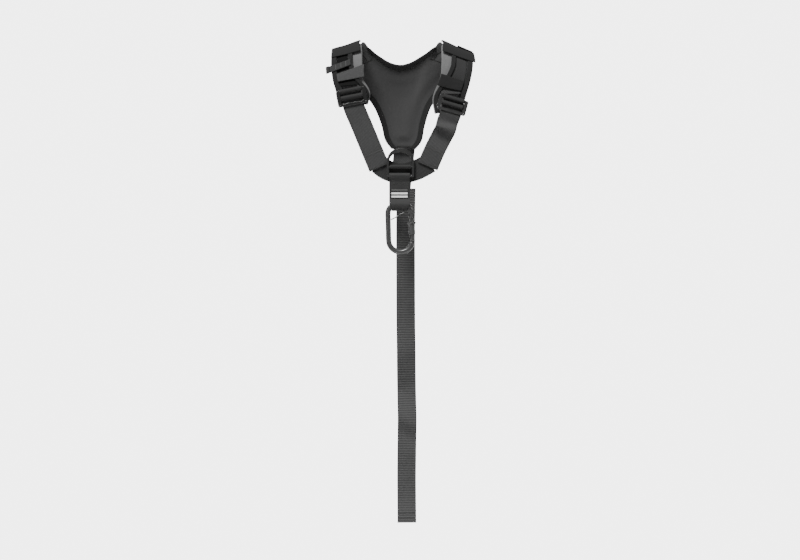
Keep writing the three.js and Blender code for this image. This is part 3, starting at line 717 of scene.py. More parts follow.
keeper("left_top_keeper", left.strip(0.03, 0.99, (4, 14), sag(0.9 * MM)), (20, 20))
keeper("right_top_keeper", right.strip(-0.01, 1.06, (4, 14), sag(0.9 * MM)), (20, 20))
keeper("right_keeper_tail", right.strip(0.5, 1.0, (5, 8), KEEPER_LOW + 3 * MM), (12, 8))

patch = left.strip(-0.07, 0.84, PATCH_ROWS, sag(0.5 * MM))
cloth("left_shoulder_patch", patch, (20, 16), 1.5 * MM, PATCH, ["left_patch"])
patch_top = left.strip(-0.07, 0.84, PATCH_ROWS, sag(0.5 * MM, 0.8 * MM))
for side, first, last in (
    ("neck", (0.07, 0.08), (0.07, 0.92)),
    ("outer", (0.93, 0.08), (0.93, 0.92)),
    ("upper", (0.07, 0.08), (0.93, 0.08)),
    ("lower", (0.07, 0.92), (0.93, 0.92)),
):
    stitches(f"patch_thread_{side}", patch_top, first, last, 10, PALE_THREAD, 2.2 * MM)
print("pieces so far:", len(PIECES))

# %% [markdown]
# The gear loop is tacked down in three places with dense rows of thread. Its outer end is folded
# back on itself, which is easiest to draw as a flat tube along the webbing's width.

# %% Gear loop
GEAR = (0.36, 1.14, (17, 20.2, 19, 22.6))
gear = left.strip(*GEAR, KEEPER_MID)
gear_top = left.strip(*GEAR, KEEPER_MID + 0.95 * MM)
cloth("left_gear_webbing", gear, (18, 8), WEBBING, LOOP, ["left_gear_loop"])
for name, u in (("neck", 0.4), ("middle", 0.62), ("outer", 0.2)):
    tack = f"gear_bartack_{name}"
    stitches(tack, gear_top, (u, 0.12), (u, 0.88), 10, PALE_THREAD, 0.8 * MM, (0.9, 0.8, 0.5))


def loop_end(u, v):
    """The folded end of the gear loop."""
    turn = u * math.tau
    middle = gear(0.955, v)
    inward = (gear(0.9, v) - middle).normalized()
    out = normal_at(left.surface, 0.9, 0.47)
    high, wide = 1.1 * MM + 1.7 * MM * math.sin(turn), 3.6 * MM * math.cos(turn)
    return middle + out * high + inward * wide


fold = new_object("left_gear_loop_end", tube_bmesh(loop_end, 16, 8), LOOP)
finish_edges(fold, 1.2 * MM, 0.4 * MM)
keeper("right_mid_keeper", right.strip(0, 0.8, (25, 29.3, 25.5, 30.5), sag(0.7 * MM)), (16, 12))
print("pieces so far:", len(PIECES))

# %% [markdown]
# ## Back pad
# The back pad is foam between two mesh faces, bound with tape. It hangs from the shoulders and
# narrows to a tongue that holds the long strap. The rim is the same surface at a share of the
# tape's width, so the tape always meets the foam.

# %% The pad's rim
NECK_LINE = [
    (0.999, 0.444, 0.028), (0.760, 0.444, 0.112), (0.514, 0.444, 0.169), (0.339, 0.689, 0.101),
    (0.155, 0.800, 0.031), (0.000, 0.844, 0.008), (-0.155, 0.800, 0.033), (-0.310, 0.689, 0.095),
    (-0.478, 0.444, 0.169), (-0.703, 0.444, 0.121), (-0.929, 0.444, 0.065),
]
# Columns: x at +X, x at -X, y, z at +X, z at -X
PAD_SIDES = [
    (0.999, -0.929, 0.444, 0.028, 0.065),
    (0.820, -0.749, 0.844, -0.111, -0.093),
    (0.623, -0.559, 0.956, -0.221, -0.221),
    (0.450, -0.379, 0.978, -0.363, -0.365),
    (0.351, -0.265, 0.956, -0.546, -0.537),
    (0.301, -0.205, 0.911, -0.696, -0.687),
    (0.216, -0.119, 0.889, -0.764, -0.762),
]
TAPE_WIDTH = 10 * MM
# The arms lie in the first and last share of the neck line
ARM = 0.2
neck_line = Line([share(*row) for row in NECK_LINE])
pad_plus = Line([share(x, y, z) for x, _, y, z, _ in PAD_SIDES])
pad_minus = Line([share(x, y, z) for _, x, y, _, z in PAD_SIDES])


def back_surface(u, v):
    u, v = clamp(u), clamp(v)
    point = pad_plus.point(v).lerp(pad_minus.point(v), u)
    chord = pad_plus.point(0).lerp(pad_minus.point(0), u)
    bow = math.sin(math.pi * u)
    point = point + (neck_line.point(u) - chord) * (1 - v) ** 2
    point.z -= 0.02 * YOKE_HEIGHT * bow * v**6
    point.y += 0.1 * HALF_DEPTH * bow * ease(0, 0.5, v)
    return point


def inset(u, v, amount):
    """The point of the pad that is moved in from its rim by a share of the tape's width."""
    side = TAPE_WIDTH / (back_surface(0, v) - back_surface(1, v)).length * amount
    end = TAPE_WIDTH / (back_surface(u, 0) - back_surface(u, 1)).length * amount
    neck = ease(ARM - 0.04, ARM - 0.01, u) * ease(ARM - 0.04, ARM - 0.01, 1 - u)
    return back_surface(mix(side, 1 - side, u), mix(end * neck, 1 - end, v))


def padded_face(u, v):
    """The foam under the tape. Its arms reach up to the ridge of the shoulder bands."""
    point = inset(u, v, 0.45)
    near_band = math.exp(-(((0.5 - abs(u - 0.5) - 0.17) / 0.03) ** 2))
    point.z += 15 * MM * near_band * (1 - v) ** 6
    return point


lengths = [round(line.length / MM) for line in (neck_line, pad_plus, pad_minus)]
print("neck line and sides in mm:", lengths)

# %% [markdown]
# A cushion swells where nothing holds it. Its closed shell is remeshed into even cells and a
# cloth simulation blows it up a little, with no gravity. The result is then laid back so that no
# point moves more than the cap. Even cells let the cloth stretch equally in all directions.

# %% Blow up a pad
HELD, FREE = 4 * MM, 26 * MM


def apply(piece, modifier):
    with bpy.context.temp_override(object=piece, active_object=piece, selected_objects=[piece]):
        bpy.ops.object.modifier_apply(modifier=modifier.name)


def swell(piece, seam_points, cell, cap, pressure=4.0, frames=20):
    """Remeshes a pad into even cells, swells it with a short cloth simulation and smooths it.

    The seam points keep the cloth down, and it rises freely a little way from them.
    """
    for modifier in list(piece.modifiers):
        apply(piece, modifier)
    remesh = piece.modifiers.new("even", "REMESH")
    remesh.mode = "VOXEL"
    remesh.voxel_size = cell
    apply(piece, remesh)
    rest = [v.co.copy() for v in piece.data.vertices]
    blown = piece.modifiers.new("foam", "CLOTH")
    blown.settings.use_pressure = True
    blown.settings.uniform_pressure_force = pressure
    blown.settings.effector_weights.gravity = 0
    blown.point_cache.frame_start = 1
    blown.point_cache.frame_end = frames
    for number in range(1, frames + 1):
        bpy.context.scene.frame_set(number)
    apply(piece, blown)
    bpy.context.scene.frame_set(1)
    seams = KDTree(len(seam_points))
    for i, point in enumerate(seam_points):
        seams.insert(point, i)
    seams.balance()
    for vert, home in zip(piece.data.vertices, rest):
        move = vert.co - home
        if move.length > cap:
            move = move.normalized() * cap
        vert.co = home + move * ease(HELD, FREE, seams.find(home)[2])
    soft = piece.modifiers.new("soft", "SMOOTH")
    soft.factor = 0.5
    soft.iterations = 2
    piece.data.polygons.foreach_set("use_smooth", [True] * len(piece.data.polygons))
    moved = max((v.co - r).length for v, r in zip(piece.data.vertices, rest))
    print(piece.name, "vertices", len(rest), "largest swell mm", round(moved / MM, 2))


# %% [markdown]
# The pad's foam is held down where the tape is sewn on, along the tape's middle and its inner
# edge. The tape itself is a thick strip round the rim with a wide bevel, as tape that is folded
# over an edge bulges at the fold. One row of thread runs along its inner edge.

# %% Back pad and its tape
PAD_ROWS, PAD_COLUMNS = 16, 20
SIDE_STEPS = PAD_ROWS - 1
RIM_STEPS = 2 * SIDE_STEPS + PAD_COLUMNS


def held_rim():
    """Points along the tape's middle and its inner edge, where the foam is sewn down."""
    points = []
    for amount in (0.4, 1.0):
        for t in (i / 80 for i in range(81)):
            points += [inset(u, v, amount) for u, v in ((0, t), (1, t), (t, 0), (t, 1))]
    return points


def neck_rim(s, t):
    """The tape at the neck, between the arms."""
    return inset(mix(ARM, 1 - ARM, t), 0, 1 - s)


def side_rim(s, t):
    """The tape down one side, round the bottom and up the other."""
    step = t * RIM_STEPS
    if step < SIDE_STEPS:
        return inset(0, (1 + step) / PAD_ROWS, s)
    if step < SIDE_STEPS + PAD_COLUMNS:
        return inset((step - SIDE_STEPS) / PAD_COLUMNS, 1, s)
    return inset(1, (1 + RIM_STEPS - step) / PAD_ROWS, s)


back = new_object("back_foam_pad", cloth_bmesh(padded_face, 48, 40), PAD, ["back_pad"])
finish_edges(back, PAD_THICK, 2 * MM)
swell(back, held_rim(), cell=4 * MM, cap=5 * MM)

for name, rim, steps in (("neck", neck_rim, 60), ("side", side_rim, 150)):
    tape = new_object(f"{name}_tape", cloth_bmesh(rim, 3, steps), TAPE, [f"{name}_binding"])
    finish_edges(tape, 8.8 * MM, 3 * MM, 4)
for name, rim, u, steps in (("side", side_rim, 0.8, 120), ("neck", neck_rim, 0.2, 40)):
    face = in_front(rim, 4.5 * MM)
    stitches(f"{name}_tape_thread", face, (u, 0), (u, 1), steps, spacing=3.4 * MM)
print("pieces so far:", len(PIECES))

# %% [markdown]
# The arms of the pad are sewn on in short seams near the shoulders, and the cloth gathers a
# little beside them. A seam is a thin dark groove of thread on the pad's face. Each is placed by
# where it is seen from the front and laid on the pad's own surface.

# %% Seams on the pad's arms
SEAM_STEPS, SEAM_RADIUS = 14, 0.8 * MM
# Both ends of each seam as shares of the yoke's half width and height
SEAMS = {
    "left_upper": ((-0.535, 0.100), (-0.460, 0.041)),
    "left_lower": ((-0.512, 0.012), (-0.395, 0.060)),
    "right_upper": ((0.595, 0.128), (0.525, 0.104)),
    "right_side": ((0.525, 0.104), (0.478, 0.052)),
    "right_lower": ((0.478, 0.052), (0.568, 0.030)),
    "right_end": ((0.420, 0.065), (0.478, 0.052)),
}
pad_tree = BVHTree.FromObject(back, bpy.context.evaluated_depsgraph_get())


def on_pad(x, z):
    """The point on the pad's front face, found by a ray from the front."""
    hit = pad_tree.ray_cast(Vector((x, -1, z)), -TO_FRONT)[0]
    return hit or Vector((x, 0.03, z))


def bar_point(line, t, turn, radius):
    """A point on a round bar about a line: at its side for no turn, in front for a quarter."""
    ahead = line.along(t)
    side = ahead.cross(TO_FRONT).normalized()
    return line.at(t) + (side * math.cos(turn) + side.cross(ahead) * math.sin(turn)) * radius


for name, (start, end) in SEAMS.items():
    shares = [Vector(start).lerp(Vector(end), i / SEAM_STEPS) for i in range(SEAM_STEPS + 1)]
    line = Line([on_pad(s.x * HALF_WIDTH, s.y * YOKE_HEIGHT) for s in shares], 60)

    def cord(u, v):
        return bar_point(line, v, u * math.tau, SEAM_RADIUS)

    new_object(f"{name}_seam", tube_bmesh(cord, 6, SEAM_STEPS, capped=True), SEAM)
print("seams:", len(SEAMS))

# %% [markdown]
# ## Buckles
# The chest straps pass through flat plates with two slots: up through one, back through the
# other. Webbing that goes round a bar is drawn as a tube with a rounded, slightly bulging outline.
# A strip along a line would do too, but a closed tube needs no ends to be hidden.

# %% Webbing rolled over a bar
CHEST_WIDTH = 44 * MM
CHEEK_WIDTH = CHEST_WIDTH + 2.6 * MM
BAR_PITCH = (BUCKLE_HEIGHT - BUCKLE_BAR) / 2


def hung(centre, turn=0, lean=0):
    """A place whose x runs across, y up and z to the front, turned and leaned in degrees."""
    turned = Matrix.Rotation(math.radians(-turn), 4, "Y")
    return Matrix.Translation(centre) @ turned @ Matrix.Rotation(math.radians(90 - lean), 4, "X")


def roll(depth, height, corner, goal):
    """A point on a rounded rectangle, in depth and height, at a share of its outline."""
    x, y = depth / 2 - corner, height / 2 - corner
    arc_length = math.pi / 2 * corner
    walk = (goal % 1.0) * 4 * (x + y + arc_length)
    # Columns: a side's start, direction and length, and the centre of the corner after it
    sides = (
        (depth / 2, -y, 0, 1, 2 * y, x, y),
        (x, height / 2, -1, 0, 2 * x, -x, y),
        (-depth / 2, y, 0, -1, 2 * y, -x, -y),
        (-x, -height / 2, 1, 0, 2 * x, x, -y),
    )
    for quarter, (start_x, start_y, to_x, to_y, length, centre_x, centre_y) in enumerate(sides):
        if walk <= length:
            return start_x + to_x * walk, start_y + to_y * walk
        walk -= length
        if walk <= arc_length:
            angle = (quarter + walk / arc_length) * math.pi / 2
            return centre_x + corner * math.cos(angle), centre_y + corner * math.sin(angle)
        walk -= arc_length
    return depth / 2, -y


def wrap(name, place, plate, bar, width, corner, bulge):
    """Webbing rolled round a bar that lies along x of a place."""
    depth, height = plate + 2 * GAP + WEBBING, bar + 2 * GAP + WEBBING

    def rolled(u, v):
        out, up = roll(depth, height, corner, v)
        if out > 0:
            out += bulge * (1 - (2 * up / height) ** 2)
        return place @ Vector(((u - 0.5) * width, up, out))

    piece = new_object(f"{name}_roll", tube_bmesh(rolled, 12, 32), ROLL, [f"{name}_wrap"])
    finish_edges(piece, WEBBING)


print("bar pitch in mm:", round(BAR_PITCH / MM, 1))

# %% [markdown]
# The plates keep the frame's own shape. The steel is stamped, so its edges are rounded, and it is
# anodised black. A small flat dot of paler steel sits at each side of the lowest bar.

# %% Buckle plates
left_buckle = hung(share(-0.666, -1.2, -0.326), 11)
right_buckle = hung(share(0.721, -1.325, -0.401), -16, 18)
for name, buckle in (("left", left_buckle), ("right", right_buckle)):
    copy_of(f"{name}_buckle_frame", f"{name}_buckle_plate", METAL, 0.7 * MM)
    for bar, rise in (("upper", BAR_PITCH), ("lower", 0)):
        place = buckle @ Matrix.Translation((0, rise, 0))
        sizes = BUCKLE_PLATE, BUCKLE_BAR, CHEEK_WIDTH - MM
        wrap(f"{name}_{bar}", place, *sizes, 2.2 * MM, 1.3 * MM)
    for side, word in ((-1, "minus"), (1, "plus")):
        bm = bmesh.new()
        bmesh.ops.create_uvsphere(bm, u_segments=16, v_segments=10, radius=1.5 * MM)
        bmesh.ops.scale(bm, verts=bm.verts, vec=(1, 1, 0.45))
        spot = (side * (CHEEK_WIDTH / 2 + 4 * MM), -BAR_PITCH, BUCKLE_PLATE / 2)
        bmesh.ops.transform(bm, verts=bm.verts, matrix=buckle @ Matrix.Translation(spot))
        new_object(f"{name}_buckle_dot_{word}", bm, STEEL)
print("pieces so far:", len(PIECES))

# %% [markdown]
# ## Ring, connector and their straps
# The ring hangs in the joined chest straps. Below it a short band holds the connector. The ring,
# the connector's gate and its rivet keep the frame's own shapes, with their edges rounded off.

# %% Ring
RING_CENTRE = share(0.007, -1.222, -0.962)
RING_PLATE, RING_BAR, RING_SLOT = 5 * MM, 4.2 * MM, 14 * MM
# The ring's lighter base is painted reflection
copy_of("sternal_ring", "breastbone_ring", RING_METAL_PAINTED_REFLECTION, 1.9 * MM, 5)
wrap("ring", hung(RING_CENTRE), RING_PLATE, RING_BAR, CHEST_WIDTH - MM, 2.0 * MM, 1.2 * MM)
print("ring centre in mm:", [round(c / MM, 1) for c in RING_CENTRE])

# %% [markdown]
# The chest straps leave the buckles, fall to the ring and are sewn to a curved ply behind it. In
# the photograph the left one hangs straight and the right one has a soft fold, so each has its own
# short table of bends. The end of each strap is folded back and sewn, which shows as a second ply.

# %% Chest straps
JOINT_Y = RING_CENTRE.y + RING_PLATE / 2 + 2 * GAP + 1.5 * WEBBING + 1.2 * MM
STRAP_Y = JOINT_Y - WEBBING - GAP
BEHIND_BAR = -(BUCKLE_PLATE / 2 + 2 * GAP + WEBBING / 2)
# The ply's line from the ring's centre, in widths of the strap
JOINT_LINE = [
    (-1.06, 0.16), (-0.72, -0.1), (-0.3, -0.26), (0, -0.3), (0.34, -0.26), (0.8, -0.12),
    (1.42, 0.21),
]
# Columns: share of the way down, shift to +X and to the front, shares of the webbing's width
LEFT_FALL = [(0.3, 0, 0), (0.65, 0, 0.02)]
RIGHT_FALL = [(0.16, 0.02, -0.02), (0.3, 0.08, 0.15), (0.42, 0.05, -0.1), (0.7, 0, 0)]


def chest_point(x, z, y):
    return Vector((RING_CENTRE.x + x * CHEST_WIDTH, y, RING_CENTRE.z + z * CHEST_WIDTH))


def strap(name, line, width, cells, node, material=WEB):
    cloth(name, strap_surface(line, width), cells, WEBBING, material, [node], 0.55 * MM)


def fall_line(buckle, end, fall, shift=0.0):
    """From behind the buckle's upper slot, under its lower bar and down to the ring."""
    start = buckle @ Vector((shift, BAR_PITCH * 0.8, BEHIND_BAR - 2 * MM))
    slot_end = buckle @ Vector((shift, -BAR_PITCH / 2, BEHIND_BAR - 1.7 * MM))
    under = buckle @ Vector((shift, -BAR_PITCH - BUCKLE_BAR / 2 - MM, BEHIND_BAR))
    bends = [under.lerp(end, t) + Vector((x, -y, 0)) * CHEST_WIDTH for t, x, y in fall]
    return Line([start, slot_end, under, *bends, end])


joint_line = Line([chest_point(x, z, JOINT_Y) for x, z in JOINT_LINE])
# The ply behind the ring takes the darker copy of the twill: painted shade behind the ring
strap("joined_chest_ply", joint_line, CHEST_WIDTH * 0.96, (10, 40), "chest_joint", WEB_PAINTED_SHADE)
left_fall = fall_line(left_buckle, chest_point(-1.0, -0.04, STRAP_Y), LEFT_FALL)
right_fall = fall_line(right_buckle, chest_point(1.28, 0.03, STRAP_Y), RIGHT_FALL, 1.6 * MM)
for name, line, weave, lap in (
    ("left", left_fall, WEB_LEFT, 0.8),
    ("right", right_fall, WEB, 0.755),
):
    strap(f"{name}_chest_webbing", line, CHEST_WIDTH, (12, 60), f"{name}_chest_strap", weave)
    sheet = strap_surface(line, CHEST_WIDTH)

    # The surface's normal points to the back here, so the front is at a negative height
    def face(u, v):
        return lifted(sheet, u, v, -(WEBBING / 2 + THREAD_LIFT))

    def ply(u, v):
        return lifted(sheet, mix(0.02, 0.98, u), mix(lap, 0.995, v), -WEBBING)

    for u in (0.09, 0.91):
        row = f"{name}_chest_thread_{round(u * 100)}"
        stitches(row, face, (u, 0.03), (u, 0.97), 24, spacing=3.4 * MM)
    cloth(f"{name}_lap_ply", ply, (10, 16), WEBBING, weave)
    for v in (0.08, 0.9):
        row = f"{name}_lap_thread_{round(v * 100)}"
        stitches(row, in_front(ply, 1.1 * MM), (0.07, v), (0.93, v), 20)

lengths = [round(line.length / MM) for line in (left_fall, right_fall, joint_line)]
print("left and right chest strap and joint in mm:", lengths)

# %% [markdown]
# The front band is one loop of webbing: over the ring's lower bar, down, round the connector and
# up again behind. It is drawn as a single closed path and not as two plies, so the webbing keeps
# its thickness at both turns. It narrows where it enters the eye of the connector.

# %% Front band
FRONT_WIDTH = CHEST_WIDTH - MM
FRONT_DROP = 60 * MM
EYE_WIDTH = 33 * MM
BAR_RADIUS = 5.5 * MM
BAND_Y = RING_CENTRE.y
UPPER_Z = RING_CENTRE.z - RING_BAR - RING_SLOT
LOWER_Z = UPPER_Z - FRONT_DROP
CONNECTOR_TOP = Vector((RING_CENTRE.x - 2 * MM, BAND_Y, LOWER_Z))
TURN = RING_PLATE / 2 + 5 * GAP + WEBBING / 2
PLY_HALF = WEBBING / 2 + GAP
EYE_DEPTH = BAR_RADIUS + 2 * GAP + WEBBING / 2
# The turn in the eye starts a little under the bar's middle and drops this far
EYE_START, EYE_DROP = 2 * MM, 10.4 * MM
PLY_SHARES = [0.08, 0.18, 0.3, 0.45, 0.6, 0.7, 0.8, 0.9, 1.0]


def ply_depth(t):
    """How far a ply lies from the middle of the band, at a share of the way down."""
    return mix(mix(TURN, PLY_HALF, ease(0, 0.25, t)), EYE_DEPTH, ease(0.78, 0.99, t))


def ply_points(side, shares):
    return [Vector((0, BAND_Y + side * ply_depth(t), mix(UPPER_Z, LOWER_Z, t))) for t in shares]


def turn_points(z, depth, height, angles):
    """Half an ellipse from the back over the top, or under the bottom for a negative height."""
    turns = [math.radians(angle) for angle in angles]
    return [Vector((0, BAND_Y + depth * math.cos(a), z + height * math.sin(a))) for a in turns]


front_line = Line(
    [
        *ply_points(1, PLY_SHARES[4::-1]),
        *turn_points(UPPER_Z, TURN, TURN, range(0, 181, 20)),
        *ply_points(-1, PLY_SHARES),
        *turn_points(LOWER_Z - EYE_START, -EYE_DEPTH, -EYE_DROP, range(20, 161, 20)),
        *ply_points(1, PLY_SHARES[:4:-1]),
    ],
    600,
)


def front_surface(u, v):
    point = front_line.at(v * 0.992 + 0.004)
    width = mix(EYE_WIDTH, FRONT_WIDTH, ease(-9 * MM, 2 * MM, point.z - LOWER_Z))
    return point + Vector((CONNECTOR_TOP.x + (0.5 - u) * width, 0, 0))


def front_face(u, z):
    """A point just over the front ply, at a height and a share of the width."""
    t = clamp((UPPER_Z - z) / FRONT_DROP)
    y = BAND_Y - ply_depth(t) - WEBBING / 2 - THREAD_LIFT
    return Vector((CONNECTOR_TOP.x + (0.5 - u) * FRONT_WIDTH, y, z))


cloth("front_band", front_surface, (12, 150), WEBBING, FRONT, ["front_strap"])
for i, drop in enumerate((14.5 * MM, 17.5 * MM)):
    z = UPPER_Z - drop
    stitches(f"front_seam_{i}", front_face, (0.06, z), (0.94, z), 20, PALE_THREAD, 2.4 * MM)
for u in (0.05, 0.95):
    first, last = (u, UPPER_Z - 6 * MM), (u, LOWER_Z + 14 * MM)
    row = f"front_edge_thread_{round(u * 100)}"
    stitches(row, front_face, first, last, 20, spacing=3.0 * MM)
print("front band in mm:", round(front_line.length / MM))

# %% [markdown]
# The label is a small sewn tag with plain pale stripes. The stripes could be pieces of cloth of
# their own, but as steps of its shader they stay flat and sharp.

# %% Label with plain stripes
LABEL_TOP, LABEL_BOTTOM = 0.46, 0.77
LABEL_HEIGHT = (LABEL_BOTTOM - LABEL_TOP) * FRONT_DROP
LABEL_Z = UPPER_Z - LABEL_BOTTOM * FRONT_DROP
# Stripes as lower and upper height from the label's bottom in mm, and their paleness
STRIPES = ((0.9, 4.6, 1.0), (7.6, 11.3, 1.0), (15.7, 17.2, 0.12))


def label_place(u, v):
    x = CONNECTOR_TOP.x + (u - 0.5) * 0.78 * FRONT_WIDTH
    return Vector((x, BAND_Y - PLY_HALF - WEBBING / 2 - 0.7 * MM, LABEL_Z + v * LABEL_HEIGHT))


def label_cloth():
    f = Finish("label_cloth", "label_cloth", roughness=0.75, specular=0.3)
    across, along, _ = f.cloth_map()
    pale = 0.0
    for low, high, level in STRIPES:
        above = f.sums("GREATER_THAN", along, low * MM)
        inside = f.sums("MULTIPLY", above, f.sums("LESS_THAN", along, high * MM))
        pale = f.sums("MULTIPLY_ADD", inside, level, pale)
    weave = f.wave(across, 0.8 * MM)
    base = f.vary(f.tint(pale, 0.03, 0.95), 0.2, weave, 0.7, 1.2)
    return f.finish(base, f.bump(weave, 0.3, 0.2 * MM))


cloth("striped_label", label_place, (12, 10), 0.7 * MM, label_cloth(), ["id_label"], 0.25 * MM)
print("label height in mm:", round(LABEL_HEIGHT / MM, 1))

# %% [markdown]
# ## Connector
# The connector is a forged bar with a gate, a rivet and a screwed sleeve. It is the only part
# with moving pieces: the gate turns on its rivet, and the sleeve slides on the gate. A wire
# across its top corner keeps the webbing in place. Bar and wire are swept along a line, which
# stays smooth in the tight corners.

# %% Connector
HALF_SPAN, TOP_CORNER, SPINE = 24.5 * MM, 17.5 * MM, 98 * MM
HINGE_Z = -TOP_CORNER + 1.5 * MM
NOSE_Z = HINGE_Z - 61 * MM
TAB_SIZE = (8 * MM, 5 * MM, 10.5 * MM)
WIRE_REACH = HALF_SPAN - BAR_RADIUS - 2 * GAP
connector_place = Matrix.Translation(CONNECTOR_TOP) @ Matrix.Rotation(math.radians(-1.5), 4, "Y")


def arc(x, z, radius, start, end, count):
    """Points on an arc in the front plane, between two angles in degrees."""
    turns = [math.radians(mix(start, end, i / (count - 1))) for i in range(count)]
    return [(x + radius * math.cos(a), 0, z + radius * math.sin(a)) for a in turns]


def round_bar(name, points, samples, radius, material, node, around, along):
    """A round bar through points of the connector, with slightly rounded ends."""
    line = Line([connector_place @ Vector(point) for point in points], samples)

    def place(u, v):
        to_end = max(0.0, min(v, 1 - v)) * line.length
        thin = min(1, math.sqrt(to_end / (0.4 * radius)) + 0.75)
        turn = math.pi / 2 - u * math.tau
        return bar_point(line, clamp(v, 0.001, 0.999), turn, radius * thin)

    new_object(name, tube_bmesh(place, around, along, capped=True), material, [node])
    print(name, "in mm:", round(line.length / MM))


bar_points = [
    *arc(HALF_SPAN - TOP_CORNER, -TOP_CORNER, TOP_CORNER, 27, 90, 5),
    *arc(TOP_CORNER - HALF_SPAN, -TOP_CORNER, TOP_CORNER, 90, 180, 7),
    (-HALF_SPAN, 0, -SPINE * 0.35),
    (-HALF_SPAN, 0, -SPINE * 0.55),
    *arc(0, HALF_SPAN - SPINE, HALF_SPAN, 180, 345, 13),
    (HALF_SPAN, 0, NOSE_Z - MM),
]
round_bar("connector_bar", bar_points, 600, BAR_RADIUS, SATIN, "connector_body", 24, 160)

bm = bmesh.new()
bmesh.ops.create_cube(bm, size=1)
bmesh.ops.scale(bm, verts=bm.verts, vec=TAB_SIZE)
rounding = {"offset": 1.2 * MM, "segments": 3, "profile": 0.5, "material": -1}
bmesh.ops.bevel(bm, geom=bm.edges[:], affect="EDGES", **rounding)
bmesh.ops.translate(bm, verts=bm.verts, vec=(HALF_SPAN, 0, HINGE_Z + 2 * MM))
bmesh.ops.transform(bm, verts=bm.verts, matrix=connector_place)
new_object("hinge_tab", bm, SATIN)
copy_of("gate", "connector_gate", SATIN, 0.35 * MM, 2, "gate", 40)
copy_of("gate_rivet", "gate_pin", STEEL, 0.35 * MM, 2)

# The wire's points as shares of its reach and of the corner's radius
WIRE = [(-1, -1.75), (-0.4, -1.45), (0.25, -1.06), (0.5, -0.98), (0.74, -0.95)]
wire_points = [(x * WIRE_REACH, 0, z * TOP_CORNER) for x, z in WIRE]
round_bar("corner_wire", wire_points, 240, 1.3 * MM, METAL, "keeper_wire", 10, 40)

# %% [markdown]
# The sleeve is a turned part, so its profile is spun round the gate's axis. A screw modifier
# could turn it too, but the operator gives a plain closed mesh at once. Its sides are smooth here.

# %% Locking sleeve
SLEEVE_TOP = HINGE_Z - 21 * MM
SLEEVE_LENGTH = 26 * MM
# Columns: radius in mm, height as a share of the sleeve's length
SLEEVE = [
    (4.9, 0), (8.4, 0), (8.9, -0.02), (9.0, -0.05), (8.8, -0.085), (6.9, -0.125), (6.6, -0.16),
    (6.6, -0.30), (6.25, -0.33), (6.25, -0.60), (6.6, -0.63), (6.6, -0.90), (6.3, -0.95),
    (5.8, -0.985), (5.6, -1.0), (4.9, -1.0),
]
bm = bmesh.new()
ring = [bm.verts.new((radius * MM, 0, height * SLEEVE_LENGTH)) for radius, height in SLEEVE]
edges = [bm.edges.new(pair) for pair in zip(ring, ring[1:] + ring[:1])]
spun = {"axis": (0, 0, 1), "cent": (0, 0, 0), "angle": math.tau, "steps": 48, "use_merge": True}
bmesh.ops.spin(bm, geom=ring + edges, **spun)
bmesh.ops.recalc_face_normals(bm, faces=bm.faces)
bmesh.ops.translate(bm, verts=bm.verts, vec=(HALF_SPAN, 0, SLEEVE_TOP))
bmesh.ops.transform(bm, verts=bm.verts, matrix=connector_place)
sleeve = new_object("screw_sleeve", bm, MATT, ["lock_sleeve"], "sleeve")
round_edges(sleeve, 0.25 * MM, 2, 30)
print("sleeve in mm:", round(SLEEVE_LENGTH / MM))

# %% [markdown]
# ## Straps that hang from the back
# A short folded web leaves the pad and runs into a long ribbed strap. The ribs are woven across
# it every few millimetres, and the light runs along them, so they are made as real waves of the
# surface and not only as a shade.

# %% Back web and the long ribbed strap
WEB_Y = back_surface(0.5, 0.88).y + PAD_THICK / 2 + 2 * GAP + WEBBING / 2
HANG_Y = WEB_Y - WEBBING - GAP
HANG_TOP = share(0, 0, -1.136).z
DORSAL_WIDTH, DORSAL_LENGTH = 40 * MM, 710 * MM
WEB_ROUTE = [(0.075, -0.72), (0.06, -0.79), (0.035, -0.95), (0.0, -1.16), (-0.005, -1.215)]
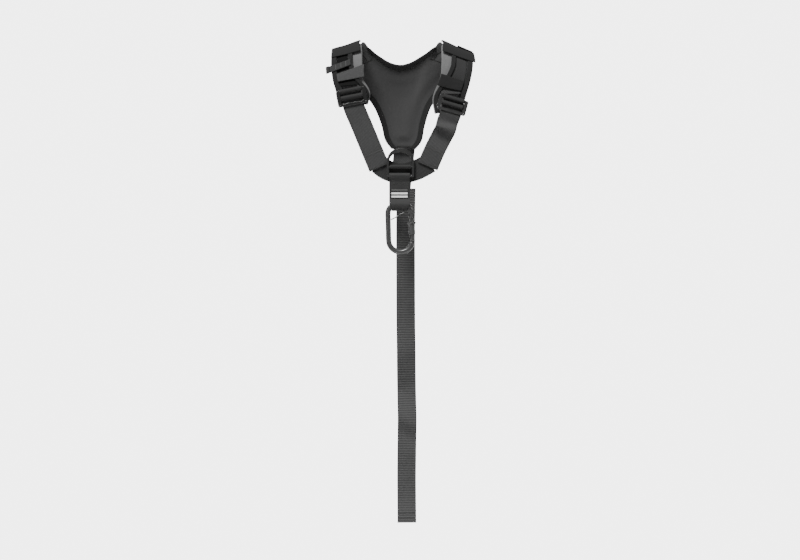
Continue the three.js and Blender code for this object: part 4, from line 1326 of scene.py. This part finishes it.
# Columns: share of the length, x and depth to the front as shares of the strap's width
HANG = [
    (0, 0.327, 0), (0.1, 0.3, 0.01), (0.25, 0.3, 0.06), (0.4, 0.31, 0.13), (0.49, 0.33, 0.18),
    (0.53, 0.335, 0.06), (0.6, 0.35, -0.16), (0.63, 0.36, -0.08), (0.685, 0.38, 0.36),
    (0.7, 0.38, 0.36), (0.735, 0.37, 0.1), (0.785, 0.36, 0.12), (0.86, 0.35, -0.04),
    (0.93, 0.355, -0.12), (1, 0.365, 0.06),
]
web_route = Line([Vector((x * HALF_WIDTH, WEB_Y, z * YOKE_HEIGHT)) for x, z in WEB_ROUTE])
strap("back_web", web_route, CHEST_WIDTH, (8, 24), "dorsal_web")


def hang_point(t, x, front):
    return Vector((x * DORSAL_WIDTH, HANG_Y - front * DORSAL_WIDTH, HANG_TOP - t * DORSAL_LENGTH))


hang_line = Line([hang_point(*row) for row in HANG], 600)
hang = strap_surface(hang_line, DORSAL_WIDTH)


def ribbed(u, v):
    """The long strap with woven ribs, as a small wave of its surface.

    Its bends lie slanted: the upper one starts higher on the right and the lower one on the left.
    """
    wave = 0.45 * MM * math.sin(math.tau * v * hang_line.length / RIB)
    crown = 0.4 * MM * math.sin(math.pi * u)
    slant = mix(0.026, -0.024, ease(0.58, 0.62, v)) * ease(0.3, 0.45, v) * (1 - ease(0.86, 0.95, v))
    point = hang(u, v)
    point.y = hang(u, clamp(v + slant * (u - 0.5))).y
    return point + TO_FRONT * (wave + crown)


def end_fold(u, v):
    """The sewn end, behind the strap."""
    return lifted(hang, u, mix(0.965, 0.985, v), WEBBING / 2 + 0.9 * MM)


def end_face(u, v):
    return lifted(hang, u, v, -(WEBBING / 2 + 0.8 * MM))


strap_bm = cloth_bmesh(ribbed, 8, 670)
long_strap = new_object("ribbed_long_strap", strap_bm, RIBBED, ["dorsal_strap"])
finish_edges(long_strap, WEBBING, 0.4 * MM)
cloth("end_band", end_fold, (14, 8), 1.2 * MM, TAPE, ["strap_end"])
for v in (0.972, 0.987):
    row = f"end_thread_{round(v * 1000)}"
    stitches(row, end_face, (0.06, v), (0.94, v), 22, THREAD, 2.6 * MM, (1.2, 0.6, 0.5))
lengths = [round(line.length / MM) for line in (web_route, hang_line)]
print("back web and long strap in mm:", lengths, "pieces in all:", len(PIECES))
